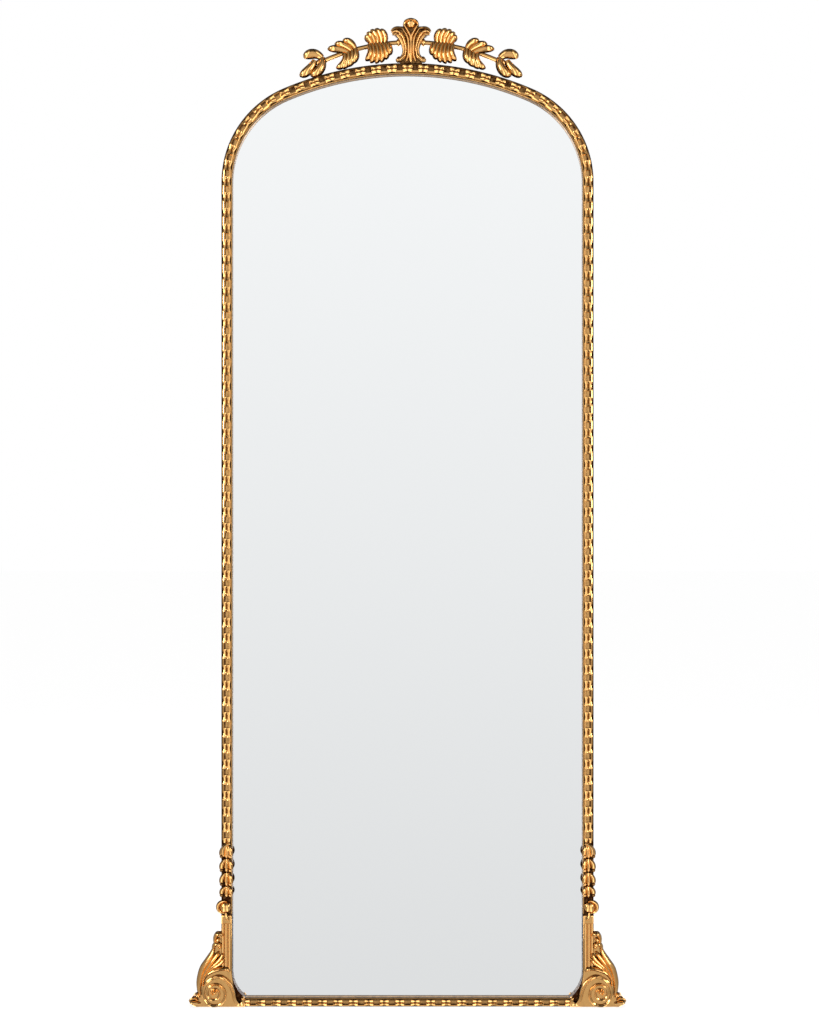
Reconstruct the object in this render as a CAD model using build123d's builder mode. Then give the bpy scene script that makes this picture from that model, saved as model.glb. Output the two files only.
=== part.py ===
from build123d import *
import math
import os

# Arched full-length wall mirror in a cast gold frame, millimetres, +Z up, front towards -Y.
# The origin is the middle of the bottom edge, on the back plane of the frame.
# Depths are counted forwards from that back plane.

# Outline of the frame: a three-centre arch on straight stiles
frame_width = 651.0
spring_height = 1442.5
crown_radius = 554.0
shoulder_radius = 177.5

# Cast moulding
moulding_width = 19.0
rail_height = 15.0
lip_thickness = 9.0
rim_thickness = 2.5
ledge_width = 7.5

# Glass and back, from the back plane forwards
back_recess = 6.0
board_thickness = 6.0
tape_thickness = 1.0
glass_thickness = 4.0
glass_edge_gap = 0.5
board_edge_gap = 0.5
tape_width = 12.0

# Beaded chain on the face of the moulding
link_pitch = 27.5
link_width = 15.6
waist_width = 9.8
link_relief = 5.0
waist_relief = 2.0
link_flank = 1.8
pocket_length = 13.0
pocket_width = 7.6
pocket_depth = 2.6

# Ornament at the foot of each stile
drop_top = 287.0
drop_bottom = 190.0
husk_count = 4
husk_flare = 9.0
husk_relief = 6.5
rosette_height = 174.0
rosette_radius = 13.5
rosette_relief = 9.0
button_radius = 9.5
button_shift = 2.2
ring_shift = 5.2
spigot_radius = 2.5
spigot_length = 5.0
spigot_gap = 0.2

# Corner casting with its volute
casting_height = 162.0
casting_reach = 42.0
scroll_height = 131.5
scroll_face = 3.0
volute_offset = 12.3
volute_height = 27.0
volute_radius = 31.0
volute_pitch = 11.8
volute_turns = 2.1
sections_per_turn = 11
ribbon_width = 7.0
ribbon_relief = 6.0
reed_count = 3
reed_relief = 2.5
leaf_relief = 6.5

# Crest
crest_shift = 6.0
crest_back = 12.0
crest_plate = 12.0
crest_height = 79.7
crest_relief = 7.0
knob_radius = 14.3
crest_seat_gap = 0.1
rod_radius = 4.0
rod_arc_radius = 375.0
rod_rise = 38.5
rod_reach = 168.0
rod_gap = 0.15
rod_sides = 8
rod_spans = 12
saddle_radius = 7.0
saddle_cover = 9.0
pin_radius = 2.0
pin_length = 18.0
pin_spacing = 24.0
pin_gap = 0.1

# Screws
screw_radius = 1.5
screw_length = 13.0
screw_head_radius = 3.5
screw_head_height = 2.2
screw_spacing = 375.0
thread_gap = 0.05
board_hole_gap = 0.3
screw_head_sides = 8
shank_sides = 6
turned_sides = 12

# Hangers on the back board
hanger_height = 1290.0
hanger_inset = 125.0
strap_width = 14.0
strap_length = 50.0
strap_thickness = 1.0
knuckle_wall = 1.0
knuckle_gap = 0.1
knuckle_rise = 3.0
knuckle_sides = 12
ring_wire_radius = 1.6
ring_width = 23.0
ring_drop = 22.0
ring_bow_spans = 8
ring_sides = 8
hanger_screw_length = 5.0
hanger_screw_pitch = 10.0

# Rubber bumpers
bumper_radius = 6.0
bumper_thickness = 3.0
bumper_height = 45.0
bumper_offset = 18.0

# Leaf plans: stations along the midrib, each with its share of the full width
pointed_leaf = [(0.0, 0.45), (0.35, 1.0), (0.75, 0.9), (1.0, 0.15)]
plump_leaf = [(0.0, 0.6), (0.4, 1.0), (0.8, 0.9), (1.0, 0.3)]
reed = [(0.0, 0.8), (0.35, 1.0), (0.7, 1.0), (1.0, 0.55)]

# How far fused forms sink into each other
overlap = 0.5

# Derived sizes
half_width = frame_width / 2
board_front = back_recess + board_thickness
tape_front = board_front + tape_thickness
glass_front = tape_front + glass_thickness
face_depth = glass_front + lip_thickness
chain_front = face_depth + link_relief
rebate = rim_thickness + ledge_width
crown_half_angle = math.degrees(math.asin((half_width - shoulder_radius) / (crown_radius - shoulder_radius)))
crown_centre = spring_height - (crown_radius - shoulder_radius) * math.cos(math.radians(crown_half_angle))
crown_top = crown_centre + crown_radius
stile_axis = half_width - moulding_width / 2
scroll_front = face_depth + scroll_face
crest_x = crest_shift
rod_centre_height = crown_top + rod_rise - rod_arc_radius
rod_depth = crest_back + crest_plate / 2
screw_hole_depth = screw_length - board_thickness + 0.5
stem_top = rosette_height - rosette_radius - 0.5
teardrop_tip = rosette_height - button_radius - 12
leaf_back = rod_depth + rod_radius + 0.5
knuckle_depth = back_recess - knuckle_rise
knuckle_bore = ring_wire_radius + knuckle_gap

os.makedirs("parts", exist_ok=True)
pieces = []


def keep(builder, name):
    """Label a finished piece and write it to its own file."""
    builder.part.label = name
    export_step(builder.part, f"parts/{name}.step")
    pieces.append(builder.part)


def mirrored(part, across=Plane.YZ):
    """The same piece for the other side of the mirror."""
    with BuildPart() as twin:
        mirror(part, about=across)
    return twin


def faceted_loft(rings):
    """A closed solid through rings of points, with flat facets from each ring to the next."""
    faces = [Face(Wire.make_polygon(rings[0])), Face(Wire.make_polygon(rings[-1]))]
    for near, far in zip(rings, rings[1:]):
        for index in range(len(near)):
            corners = [near[index - 1], near[index], far[index], far[index - 1]]
            edges = [corner - corners[0] for corner in corners[1:]]
            if abs(edges[0].cross(edges[1]).dot(edges[2])) < 1e-6:
                faces.append(Face(Wire.make_polygon(corners)))
            else:
                faces.append(Face(Wire.make_polygon(corners[:3])))
                faces.append(Face(Wire.make_polygon([corners[0], corners[2], corners[3]])))
    return Solid(Shell(faces))


def ring_on(plane, points):
    """Points given in a plane's own coordinates."""
    return [plane.from_local_coords(Vector(u, v, 0)) for u, v in points]


def polygon_points(radius, sides):
    """Corners of a regular polygon."""
    turns = [2 * math.pi * index / sides for index in range(sides)]
    return [(radius * math.cos(turn), radius * math.sin(turn)) for turn in turns]


def turned(centre, profile):
    """A faceted turned form about a front-facing axis: the profile gives radius and depth."""
    rings = []
    for radius, depth in profile:
        plane = Plane(origin=(centre[0], -depth, centre[1]), x_dir=(1, 0, 0), z_dir=(0, -1, 0))
        rings.append(ring_on(plane, polygon_points(radius, turned_sides)))
    return faceted_loft(rings)


# Runs of the frame's outer edge

class Run:
    """A straight or curved stretch of the outer edge, followed anticlockwise as seen from the front."""

    def __init__(self, x, z, heading, length=0.0, radius=0.0, turn=0.0, width=moulding_width):
        self.start = Vector(x, 0, z)
        self.heading = heading
        self.radius = radius
        self.turn = turn
        self.width = width
        self.length = length or math.radians(turn) * (radius - width / 2)

    def along(self, heading):
        angle = math.radians(heading)
        return Vector(math.cos(angle), 0, math.sin(angle))

    def inward(self, heading):
        angle = math.radians(heading)
        return Vector(-math.sin(angle), 0, math.cos(angle))

    def centre(self):
        return self.start + self.inward(self.heading) * self.radius

    def plane(self, share):
        """Cross-section plane at a share of the run: x points inwards, y forwards, z along the run."""
        if self.radius:
            heading = self.heading + self.turn * share
            origin = self.centre() - self.inward(heading) * self.radius
        else:
            heading = self.heading
            origin = self.start + self.along(heading) * (self.length * share)
        return Plane(origin=origin, x_dir=self.inward(heading), z_dir=self.along(heading))

    def sweep_profile(self):
        """Carry the pending profile along the run."""
        if self.radius:
            revolve(axis=Axis(self.centre(), (0, -1, 0)), revolution_arc=self.turn)
        else:
            extrude(amount=self.length)

    def screw_shares(self):
        """Evenly spaced places for the board screws, at least one on each run."""
        count = max(1, round(self.length / screw_spacing))
        return [(index + 0.5) / count for index in range(count)]


def section_points(width):
    """Moulding section: thin rim at the back, ledge for the board, rebate for the glass, lip in front."""
    return [
        (0, 0),
        (rim_thickness, 0),
        (rim_thickness, board_front),
        (rebate, board_front),
        (rebate, glass_front),
        (width, glass_front),
        (width, face_depth),
        (0, face_depth),
    ]


def link_points(width, swell):
    """Section of the beaded chain, from its waist (swell 0) to its belly (swell 1)."""
    half = (waist_width + (link_width - waist_width) * swell) * width / moulding_width / 2
    relief = waist_relief + (link_relief - waist_relief) * swell
    middle = width / 2
    return [
        (middle - half, face_depth - overlap),
        (middle + half, face_depth - overlap),
        (middle + half - link_flank, face_depth + relief),
        (middle - half + link_flank, face_depth + relief),
    ]


def pocket_points(width):
    """Section of a link's pocket, a groove that narrows with depth and starts in front of the link."""
    half = pocket_width * width / moulding_width / 2
    mouth = half * (pocket_depth + overlap) / pocket_depth
    return [
        (width / 2 - mouth, chain_front + overlap),
        (width / 2, chain_front - pocket_depth),
        (width / 2 + mouth, chain_front + overlap),
    ]


def moulding(run, chain_share=1.0):
    """A length of moulding with its chain of links, recessed pockets and pilot holes."""
    links = max(1, round(run.length * chain_share / link_pitch))
    half_pocket = pocket_length / 2 / run.length
    chain_rings = []
    pockets = []
    for index in range(links):
        waist = index / links * chain_share
        belly = (index + 0.5) / links * chain_share
        chain_rings.append(ring_on(run.plane(waist), link_points(run.width, 0.0)))
        chain_rings.append(ring_on(run.plane(belly), link_points(run.width, 1.0)))
        ends = (belly - half_pocket, belly + half_pocket)
        pockets.append(faceted_loft([ring_on(run.plane(end), pocket_points(run.width)) for end in ends]))
    chain_rings.append(ring_on(run.plane(chain_share), link_points(run.width, 0.0)))
    with BuildPart() as strip:
        with BuildSketch(run.plane(0)):
            Polygon(*section_points(run.width), align=None)
        run.sweep_profile()
        add(faceted_loft(chain_rings))
        add(pockets, mode=Mode.SUBTRACT)
        with BuildSketch(*[screw_axis(run, share, board_front) for share in run.screw_shares()]):
            RegularPolygon(screw_radius + thread_gap, shank_sides)
        extrude(amount=screw_hole_depth, mode=Mode.SUBTRACT)
    return strip


def screw_axis(run, share, depth):
    """Plane on a board screw's axis at a depth, facing forwards."""
    place = run.plane(share)
    middle = place.origin + place.x_dir * (rim_thickness + ledge_width / 2 + board_edge_gap / 2)
    return Plane(origin=middle + place.y_dir * depth, x_dir=(1, 0, 0), z_dir=place.y_dir)


def leaf(base, tip, bulge, width, relief, back, shares=pointed_leaf):
    """A leaf with a raised midrib along an arc that bulges to the right of its way, seen from the front."""
    start = Vector(base[0], -back, base[1])
    end = Vector(tip[0], -back, tip[1])
    forward = Vector(0, -1, 0)
    side = (end - start).normalized().cross(forward)
    middle = (start + end) / 2 + side * bulge
    spine = ThreePointArc(start, middle, end) if bulge else Line(start, end)
    rings = []
    for station, share in shares:
        tangent = spine % station
        place = Plane(origin=spine @ station, x_dir=forward.cross(tangent), z_dir=tangent)
        half = width * share / 2
        height = relief * (0.55 + 0.45 * share)
        rings.append(ring_on(place, [(-half, 0), (half, 0), (0, height)]))
    return faceted_loft(rings)


# Runs of the left half, the crown and the bottom rail

crown_run = Run(
    crown_radius * math.sin(math.radians(crown_half_angle)),
    crown_centre + crown_radius * math.cos(math.radians(crown_half_angle)),
    180 - crown_half_angle,
    radius=crown_radius,
    turn=2 * crown_half_angle,
)
shoulder_run = Run(
    -crown_radius * math.sin(math.radians(crown_half_angle)),
    crown_centre + crown_radius * math.cos(math.radians(crown_half_angle)),
    180 + crown_half_angle,
    radius=shoulder_radius,
    turn=90 - crown_half_angle,
)
stile_run = Run(-half_width, spring_height, 270, length=spring_height - casting_height)
foot_run = Run(-half_width, casting_height, 270, length=casting_height)
corner_run = Run(-half_width, 0, 0, length=casting_reach, width=rail_height)
rail_run = Run(-half_width + casting_reach, 0, 0, length=frame_width - 2 * casting_reach, width=rail_height)

# Beaded mouldings

crown_moulding = moulding(crown_run)
with BuildPart() as crown_bored:
    add(crown_moulding.part)
    for side in (-1, 1):
        pin_x = crest_x + side * pin_spacing / 2
        pin_surface = crown_centre + math.sqrt(crown_radius**2 - pin_x**2)
        with BuildSketch(Plane.XY.offset(pin_surface + 1)):
            with Locations((pin_x, -rod_depth)):
                RegularPolygon(pin_radius + pin_gap, shank_sides)
        extrude(amount=-pin_length / 2 - 1, mode=Mode.SUBTRACT)
keep(crown_bored, "crown_moulding")

left_shoulder = moulding(shoulder_run)
keep(left_shoulder, "left_shoulder_moulding")
keep(mirrored(left_shoulder.part), "right_shoulder_moulding")

chain_share = (spring_height - drop_top) / (spring_height - casting_height)
left_stile_plain = moulding(stile_run, chain_share)
husk_pitch = (drop_top - drop_bottom) / husk_count
spigot_heights = [drop_top - husk_pitch, drop_bottom + husk_pitch, rosette_height]
with BuildPart() as left_stile:
    add(left_stile_plain.part)
    for height in spigot_heights:
        with BuildSketch(Plane.XZ.offset(face_depth)):
            with Locations((-stile_axis, height)):
                RegularPolygon(spigot_radius + spigot_gap, shank_sides)
        extrude(amount=-spigot_length - spigot_gap, mode=Mode.SUBTRACT)
keep(left_stile, "left_stile_moulding")
keep(mirrored(left_stile.part), "right_stile_moulding")

keep(moulding(rail_run), "bottom_rail_moulding")


# Husk drops below the beaded stiles

def spigots(heights):
    """Faceted spigots behind an ornament, which seat in the blind holes of the stile."""
    with BuildSketch(Plane.XZ.offset(face_depth - spigot_length)) as feet:
        with Locations(*[(-stile_axis, height) for height in heights]):
            RegularPolygon(spigot_radius, shank_sides)
    extrude(feet.sketch, amount=spigot_length + 1)


husk_petals = []
for index in range(husk_count):
    top = drop_top - 2 - index * husk_pitch
    tip = top - husk_pitch * 1.35
    flare = husk_flare if index else husk_flare + 2
    for side in (-1, 1):
        husk_petals.append(
            leaf(
                (-stile_axis + side * 2.5, top),
                (-stile_axis + side * flare, max(tip, drop_bottom)),
                side * 3.0,
                8.0,
                husk_relief,
                face_depth,
            )
        )
    husk_petals.append(
        leaf(
            (-stile_axis, top - 2),
            (-stile_axis, max(tip - 2, drop_bottom)),
            0,
            7.0,
            husk_relief + 1.5,
            face_depth,
        )
    )
with BuildPart() as left_drop:
    for petal in husk_petals:
        add(petal)
    spigots(spigot_heights[:2])
keep(left_drop, "left_husk_drop")
keep(mirrored(left_drop.part), "right_husk_drop")

# Rosettes over the joint between stile and corner casting

rosette_leaf = leaf(
    (-stile_axis - 1, rosette_height - button_radius),
    (-stile_axis + 3, teardrop_tip),
    1.5,
    6.0,
    4.0,
    face_depth + scroll_face,
)
rosette_ring = turned(
    (-stile_axis - ring_shift, rosette_height),
    [
        (rosette_radius - 0.5, face_depth),
        (rosette_radius, face_depth + scroll_face + 1),
        (rosette_radius - 2.5, face_depth + rosette_relief - 1),
        (rosette_radius - 5.5, face_depth + rosette_relief - 3),
    ],
)
rosette_button = turned(
    (-stile_axis - button_shift, rosette_height),
    [
        (button_radius, face_depth + 1),
        (button_radius, face_depth + rosette_relief - 3),
        (button_radius * 0.75, face_depth + rosette_relief),
        (button_radius * 0.5, face_depth + rosette_relief - 1.2),
        (button_radius * 0.25, face_depth + rosette_relief + 2),
    ],
)
with BuildPart() as left_rosette:
    add(rosette_ring)
    add(rosette_button)
    add(rosette_leaf)
    spigots(spigot_heights[2:])
keep(left_rosette, "left_rosette")
keep(mirrored(left_rosette.part), "right_rosette")


# Corner castings

def corner(outward, height):
    """A point by its distance outwards from the left stile's outer edge and its height."""
    return (-half_width - outward, height)


def scroll_silhouette():
    """Front outline of the corner casting: acanthus lobes, volute back, toe, hook and stem."""
    crook = corner(12.0, 110.5)
    elbow = corner(16.8, 89.5)
    shoulder = corner(31.5, 68.5)
    heel = corner(39.5, 25.5)
    curl = corner(47.0, 17.5)
    toe = corner(57.0, 10.5)
    sole = corner(38.0, 0)
    hook_end = corner(-casting_reach + 3, 14.0)
    hook_base = corner(-24.0, 14.0)
    inner_bend = corner(-moulding_width + 0.6, 60.0)
    with BuildLine() as outline:
        ThreePointArc(corner(0, scroll_height), corner(10.5, 124.0), crook)
        Polyline(crook, elbow, shoulder)
        ThreePointArc(shoulder, corner(39.5, 47.0), heel)
        ThreePointArc(heel, corner(42.0, 21.0), curl)
        Line(curl, toe)
        ThreePointArc(toe, corner(50.0, 2.5), sole)
        Polyline(sole, corner(-casting_reach, 0), corner(-casting_reach, 14.0), hook_end)
        ThreePointArc(hook_end, corner(-32.0, 7.0), hook_base)
        ThreePointArc(hook_base, corner(-21.3, 36.0), inner_bend)
        Polyline(
            inner_bend,
            corner(-moulding_width + 0.6, stem_top),
            corner(0, stem_top),
            corner(0, scroll_height),
        )
    return outline.line


def volute_section(turns):
    """Cross-section plane of the scroll's ribbon after a number of turns towards the eye."""
    angle = 2 * math.pi * turns
    radius = volute_radius - volute_pitch * turns
    outward = Vector(math.cos(angle), 0, math.sin(angle))
    centre = Vector(-half_width - volute_offset, -scroll_front, volute_height)
    along = Vector(-math.sin(angle), 0, math.cos(angle))
    return Plane(origin=centre + outward * radius, x_dir=outward * -1, z_dir=along)


def volute_ribbon():
    """The spiral ribbon, which narrows on its way to the eye."""
    steps = round(volute_turns * sections_per_turn)
    rings = []
    for step in range(steps + 1):
        turns = volute_turns * step / steps
        half = ribbon_width * (1 - 0.35 * step / steps) / 2
        outline = [(-half, -1), (half, -1), (half * 0.4, ribbon_relief), (-half * 0.7, ribbon_relief * 0.8)]
        rings.append(ring_on(volute_section(turns), outline))
    return faceted_loft(rings)


# Each leaf of the scroll: base, tip, bulge of its spine, width
scroll_leaves = [
    (corner(-16.0, 60.0), corner(33.0, 42.0), 11.0, 12.0),
    (corner(36.0, 28.0), corner(9.0, 112.0), -7.0, 14.0),
    (corner(26.0, 60.0), corner(-4.0, 98.0), 3.0, 13.0),
    (corner(16.0, 62.0), corner(-8.0, 84.0), 4.0, 10.0),
    (corner(9.0, 96.0), corner(4.0, 129.0), -3.0, 13.0),
    (corner(36.0, 9.0), corner(55.0, 9.0), 2.0, 12.0),
]
acanthus = [
    leaf(base, tip, bulge, width, leaf_relief, scroll_front - 1, plump_leaf)
    for base, tip, bulge, width in scroll_leaves
]
ribbon = volute_ribbon()

silhouette = scroll_silhouette()
with BuildPart() as left_corner:
    with BuildSketch(foot_run.plane(0)):
        Polygon(*section_points(moulding_width), align=None)
    foot_run.sweep_profile()
    with BuildSketch(corner_run.plane(0)):
        Polygon(*section_points(rail_height), align=None)
    corner_run.sweep_profile()
    with BuildSketch(Plane.XZ):
        make_face(silhouette)
        with Locations(corner(-1, scroll_height)):
            Rectangle(frame_width, 2 * scroll_height, align=(Align.MAX, Align.CENTER), mode=Mode.INTERSECT)
    extrude(amount=face_depth)
    with BuildSketch(Plane.XZ.offset(face_depth - 1)):
        make_face(silhouette)
    extrude(amount=scroll_face + 1)
    with BuildSketch(Plane.XZ.offset(glass_front)):
        with BuildLine():
            cove_top = corner(-moulding_width + 1, 62.0)
            cove_foot = corner(-casting_reach, rail_height - 1)
            ThreePointArc(cove_top, corner(-26.0, 33.0), cove_foot)
            Polyline(cove_foot, corner(-moulding_width + 1, rail_height - 1), cove_top)
        make_face()
    extrude(amount=lip_thickness - 1)
    for index in range(reed_count):
        reed_pitch = (moulding_width - 4) / reed_count
        reed_x = -half_width + 2 + reed_pitch * (index + 0.5)
        with BuildSketch(Plane.XY.offset(scroll_height / 2)):
            Polygon(
                (reed_x - reed_pitch / 2 + 0.4, -scroll_front + 1),
                (reed_x + reed_pitch / 2 - 0.4, -scroll_front + 1),
                (reed_x + reed_pitch / 5, -scroll_front - reed_relief),
                (reed_x - reed_pitch / 5, -scroll_front - reed_relief),
                align=None,
            )
        extrude(amount=teardrop_tip - 1.5 - scroll_height / 2)
    add(ribbon)
    for blade in acanthus:
        add(blade)
    with BuildSketch(Plane.XZ.offset(scroll_front - 1)):
        with Locations((-half_width - volute_offset, volute_height)):
            RegularPolygon(volute_radius - volute_pitch * volute_turns, shank_sides)
    extrude(amount=ribbon_relief + 1)
    with BuildSketch(screw_axis(foot_run, 0.5, board_front)):
        RegularPolygon(screw_radius + thread_gap, shank_sides)
    extrude(amount=screw_hole_depth, mode=Mode.SUBTRACT)
keep(left_corner, "left_corner_scroll")
keep(mirrored(left_corner.part), "right_corner_scroll")


# Crest: palmette, bent rod and leaf clusters

def crest(outward, height):
    """A point on the crest's left half, from its own centreline and the crown's top."""
    return (crest_x - outward, crown_top + height)


def crest_plane(depth):
    return Plane(origin=(crest_x, -depth, crown_top), x_dir=(1, 0, 0), z_dir=(0, -1, 0))


def rod_plane(outward):
    """Cross-section plane of the rod at a distance outwards from the crest's centreline."""
    angle = math.asin(outward / rod_arc_radius)
    radial = Vector(-math.sin(angle), 0, math.cos(angle))
    along = Vector(-math.cos(angle), 0, -math.sin(angle))
    centre = Vector(crest_x, -rod_depth, rod_centre_height)
    return Plane(origin=centre + radial * rod_arc_radius, x_dir=radial * -1, z_dir=along)


def rod_bar(radius):
    """The bent rod, as a faceted bar of short straight stretches."""
    outline = polygon_points(radius, rod_sides)
    places = [rod_plane(rod_reach * (2 * step / rod_spans - 1)) for step in range(rod_spans + 1)]
    return faceted_loft([ring_on(place, outline) for place in places])


rod_clearance = rod_bar(rod_radius + rod_gap)
with BuildPart() as branch_rod:
    add(rod_bar(rod_radius))
keep(branch_rod, "branch_rod")

# Reeds of the palmette: base, tip, bow of the spine, width, relief
crest_front = crest_back + crest_plate
palmette_reeds = [
    ((0, 1), (0, 49), 0, 5.0, 5.0),
    ((5.5, 1.5), (12.5, 71), 5.0, 5.0, 5.5),
    ((13.5, 4.0), (32.5, 56.5), 12.0, 8.0, 6.0),
    ((14.0, 62.0), (32.0, 56.0), 3.0, 6.0, 4.0),
    ((13.0, 27.0), (24.5, 10.5), -3.0, 6.0, 4.0),
]
reeds = []
for base, tip, bow, width, relief in palmette_reeds:
    for side in (1, -1) if bow else (1,):
        first = (crest_x - side * base[0], crown_top + base[1])
        last = (crest_x - side * tip[0], crown_top + tip[1])
        reeds.append(leaf(first, last, side * bow, width, relief, crest_front - 1, reed))

knob = turned(
    (crest_x, crown_top + crest_height - knob_radius),
    [
        (knob_radius, crest_back),
        (knob_radius, crest_front + 1.5),
        (knob_radius * 0.75, crest_front + crest_relief),
        (knob_radius * 0.35, crest_front + crest_relief + 1.5),
    ],
)

with BuildPart() as palmette:
    with BuildSketch(crest_plane(crest_back)):
        with BuildLine():
            foot_tip = (25.2, 9.0)
            ankle = (19.0, 12.6)
            armpit = (18.9, 45.2)
            wing_tip = (34.0, 56.0)
            wing_root = (knob_radius * 0.9, 65.0)
            Polyline((0, -4), (18.0, -4), foot_tip, ankle)
            ThreePointArc(ankle, (13.0, 27.0), armpit)
            Polyline(armpit, (28.0, 49.2), wing_tip)
            ThreePointArc(wing_tip, (25.5, 63.6), wing_root)
            Polyline(wing_root, (0, 65.0), (0, -4))
        make_face()
        mirror(about=Plane.YZ)
        with Locations((-crest_shift, -crown_radius)):
            Circle(crown_radius + crest_seat_gap, mode=Mode.SUBTRACT)
    extrude(amount=crest_plate)
    for reed in reeds:
        add(reed)
    add(knob)
    with BuildSketch(crest_plane(crest_front + 1)):
        Polygon((-6.0, 67.0), (0, 50.0), (6.0, 67.0), align=None)
    extrude(amount=2 * crest_relief, mode=Mode.SUBTRACT)
    with BuildSketch(Plane.XY.offset(crown_top - 4)):
        with Locations((crest_x - pin_spacing / 2, -rod_depth), (crest_x + pin_spacing / 2, -rod_depth)):
            RegularPolygon(pin_radius + pin_gap, shank_sides)
    extrude(amount=pin_length / 2 + 4.5, mode=Mode.SUBTRACT)
    add(rod_clearance, mode=Mode.SUBTRACT)
keep(palmette, "crest_palmette")

with BuildPart() as crest_pins:
    with BuildSketch(Plane.XY.offset(crown_top - pin_length / 2)):
        with Locations((crest_x - pin_spacing / 2, -rod_depth), (crest_x + pin_spacing / 2, -rod_depth)):
            RegularPolygon(pin_radius, shank_sides)
    extrude(amount=pin_length)
keep(crest_pins, "crest_pins")


def lobe(bases, tips, count, bows, width, relief):
    """A fan of leaves: bases spread along a line, tips along an arc through three points."""
    hub = Line(bases[0], bases[1])
    rim = ThreePointArc(*tips)
    blades = []
    for index in range(count):
        share = index / (count - 1) if count > 1 else 0.5
        base = hub @ share
        tip = rim @ share
        bow = bows[0] + (bows[1] - bows[0]) * share
        blade = leaf(crest(base.X, base.Y), crest(tip.X, tip.Y), bow, width, relief, leaf_back, plump_leaf)
        blades.append(blade)
    return blades


def cluster(start, end, lobes):
    """A leaf cluster: a saddle that hugs the front of the rod, and the lobes fanned out over it."""
    opening = math.degrees(math.asin(end / rod_arc_radius) - math.asin(start / rod_arc_radius))
    with BuildPart() as spray:
        with BuildSketch(rod_plane(start)):
            with Locations((0, saddle_cover / 2)):
                Rectangle(2 * saddle_radius, saddle_cover)
        revolve(axis=Axis((crest_x, 0, rod_centre_height), (0, -1, 0)), revolution_arc=opening)
        add(rod_clearance, mode=Mode.SUBTRACT)
        for spread in lobes:
            for blade in lobe(*spread):
                add(blade)
    return spray


# Each lobe: bases, tips, count, bows of the first and last spine, width, relief
inner_lobes = [
    (((46, 36), (70, 34)), ((57, 58), (74, 56), (82, 45)), 4, (4.0, 3.0), 12.0, 9.0),
    (((45, 36), (74, 34)), ((39, 14), (60, 1), (79, 5)), 5, (-3.0, -6.0), 12.5, 9.0),
]
middle_lobes = [
    (((98, 25), (110, 19)), ((121, 38), (134, 33), (145, 26)), 3, (5.0, 3.0), 11.0, 8.0),
    (((98, 24), (116, 17)), ((104, 1), (118, -7), (130, -8)), 4, (-4.0, -6.0), 11.0, 8.0),
]
outer_lobes = [
    (((154, 11), (158, 8)), ((184, 12), (187, 9), (188, 5)), 1, (6.0, 6.0), 14.0, 8.0),
    (((156, 9), (166, 5)), ((176, -21), (186, -23), (195, -22)), 2, (-7.0, -3.0), 13.0, 8.0),
]
cluster_plans = {
    "inner": (42.0, 74.0, inner_lobes),
    "middle": (95.0, 116.0, middle_lobes),
    "outer": (149.0, rod_reach, outer_lobes),
}
for name, plan in cluster_plans.items():
    spray = cluster(*plan)
    keep(spray, f"left_{name}_leaves")
    keep(mirrored(spray.part, Plane.YZ.offset(crest_x)), f"right_{name}_leaves")


# Glass, spacer tape and back board

def arched_outline(inset):
    """Outline of a plate whose edge lies a constant inset inside the frame's outer edge."""
    side = half_width - inset
    crown = crown_radius - inset
    shoulder = shoulder_radius - inset
    lean = math.radians(crown_half_angle)
    bend = (math.pi / 2 - lean) / 2
    shoulder_x = half_width - shoulder_radius
    crown_end = (crown * math.sin(lean), crown_centre + crown * math.cos(lean))
    bend_point = (shoulder_x + shoulder * math.cos(bend), spring_height + shoulder * math.sin(bend))
    with BuildLine() as outline:
        Polyline((-side, spring_height), (-side, inset), (side, inset), (side, spring_height))
        ThreePointArc((side, spring_height), bend_point, crown_end)
        ThreePointArc(crown_end, (0, crown_centre + crown), (-crown_end[0], crown_end[1]))
        ThreePointArc((-crown_end[0], crown_end[1]), (-bend_point[0], bend_point[1]), (-side, spring_height))
    return outline.line


glass_inset = rebate + glass_edge_gap
glass_outline = arched_outline(glass_inset)
tape_outlines = [arched_outline(glass_inset + 1), arched_outline(glass_inset + 1 + tape_width)]
board_outline = arched_outline(rim_thickness + board_edge_gap)

with BuildPart() as mirror_glass:
    with BuildSketch(Plane.XZ.offset(tape_front)):
        make_face(glass_outline)
    extrude(amount=glass_thickness)
keep(mirror_glass, "mirror_glass")

with BuildPart() as spacer_tape:
    with BuildSketch(Plane.XZ.offset(board_front)):
        make_face(tape_outlines[0])
        make_face(tape_outlines[1], mode=Mode.SUBTRACT)
    extrude(amount=tape_thickness)
keep(spacer_tape, "spacer_tape")

screw_spots = []
for run in (crown_run, rail_run):
    for share in run.screw_shares():
        spot = screw_axis(run, share, 0).origin
        screw_spots.append((spot.X, spot.Z))
for run, shares in ((shoulder_run, None), (stile_run, None), (foot_run, [0.5])):
    for share in shares or run.screw_shares():
        spot = screw_axis(run, share, 0).origin
        screw_spots += [(spot.X, spot.Z), (-spot.X, spot.Z)]

hanger_x = half_width - hanger_inset
hanger_screw_tops = hanger_height - ring_drop - ring_wire_radius - screw_head_radius - 2
hanger_spots = []
for side in (-1, 1):
    for step in range(2):
        hanger_spots.append((side * hanger_x, hanger_screw_tops - step * hanger_screw_pitch))

with BuildPart() as backboard:
    with BuildSketch(Plane.XZ.offset(back_recess)):
        make_face(board_outline)
        with Locations(*screw_spots):
            RegularPolygon(screw_radius + board_hole_gap, shank_sides, mode=Mode.SUBTRACT)
    extrude(amount=board_thickness)
    with BuildSketch(Plane.XZ.offset(back_recess)):
        with Locations(*hanger_spots):
            RegularPolygon(screw_radius + thread_gap, shank_sides)
    extrude(amount=hanger_screw_length, mode=Mode.SUBTRACT)
keep(backboard, "backboard")


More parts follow.
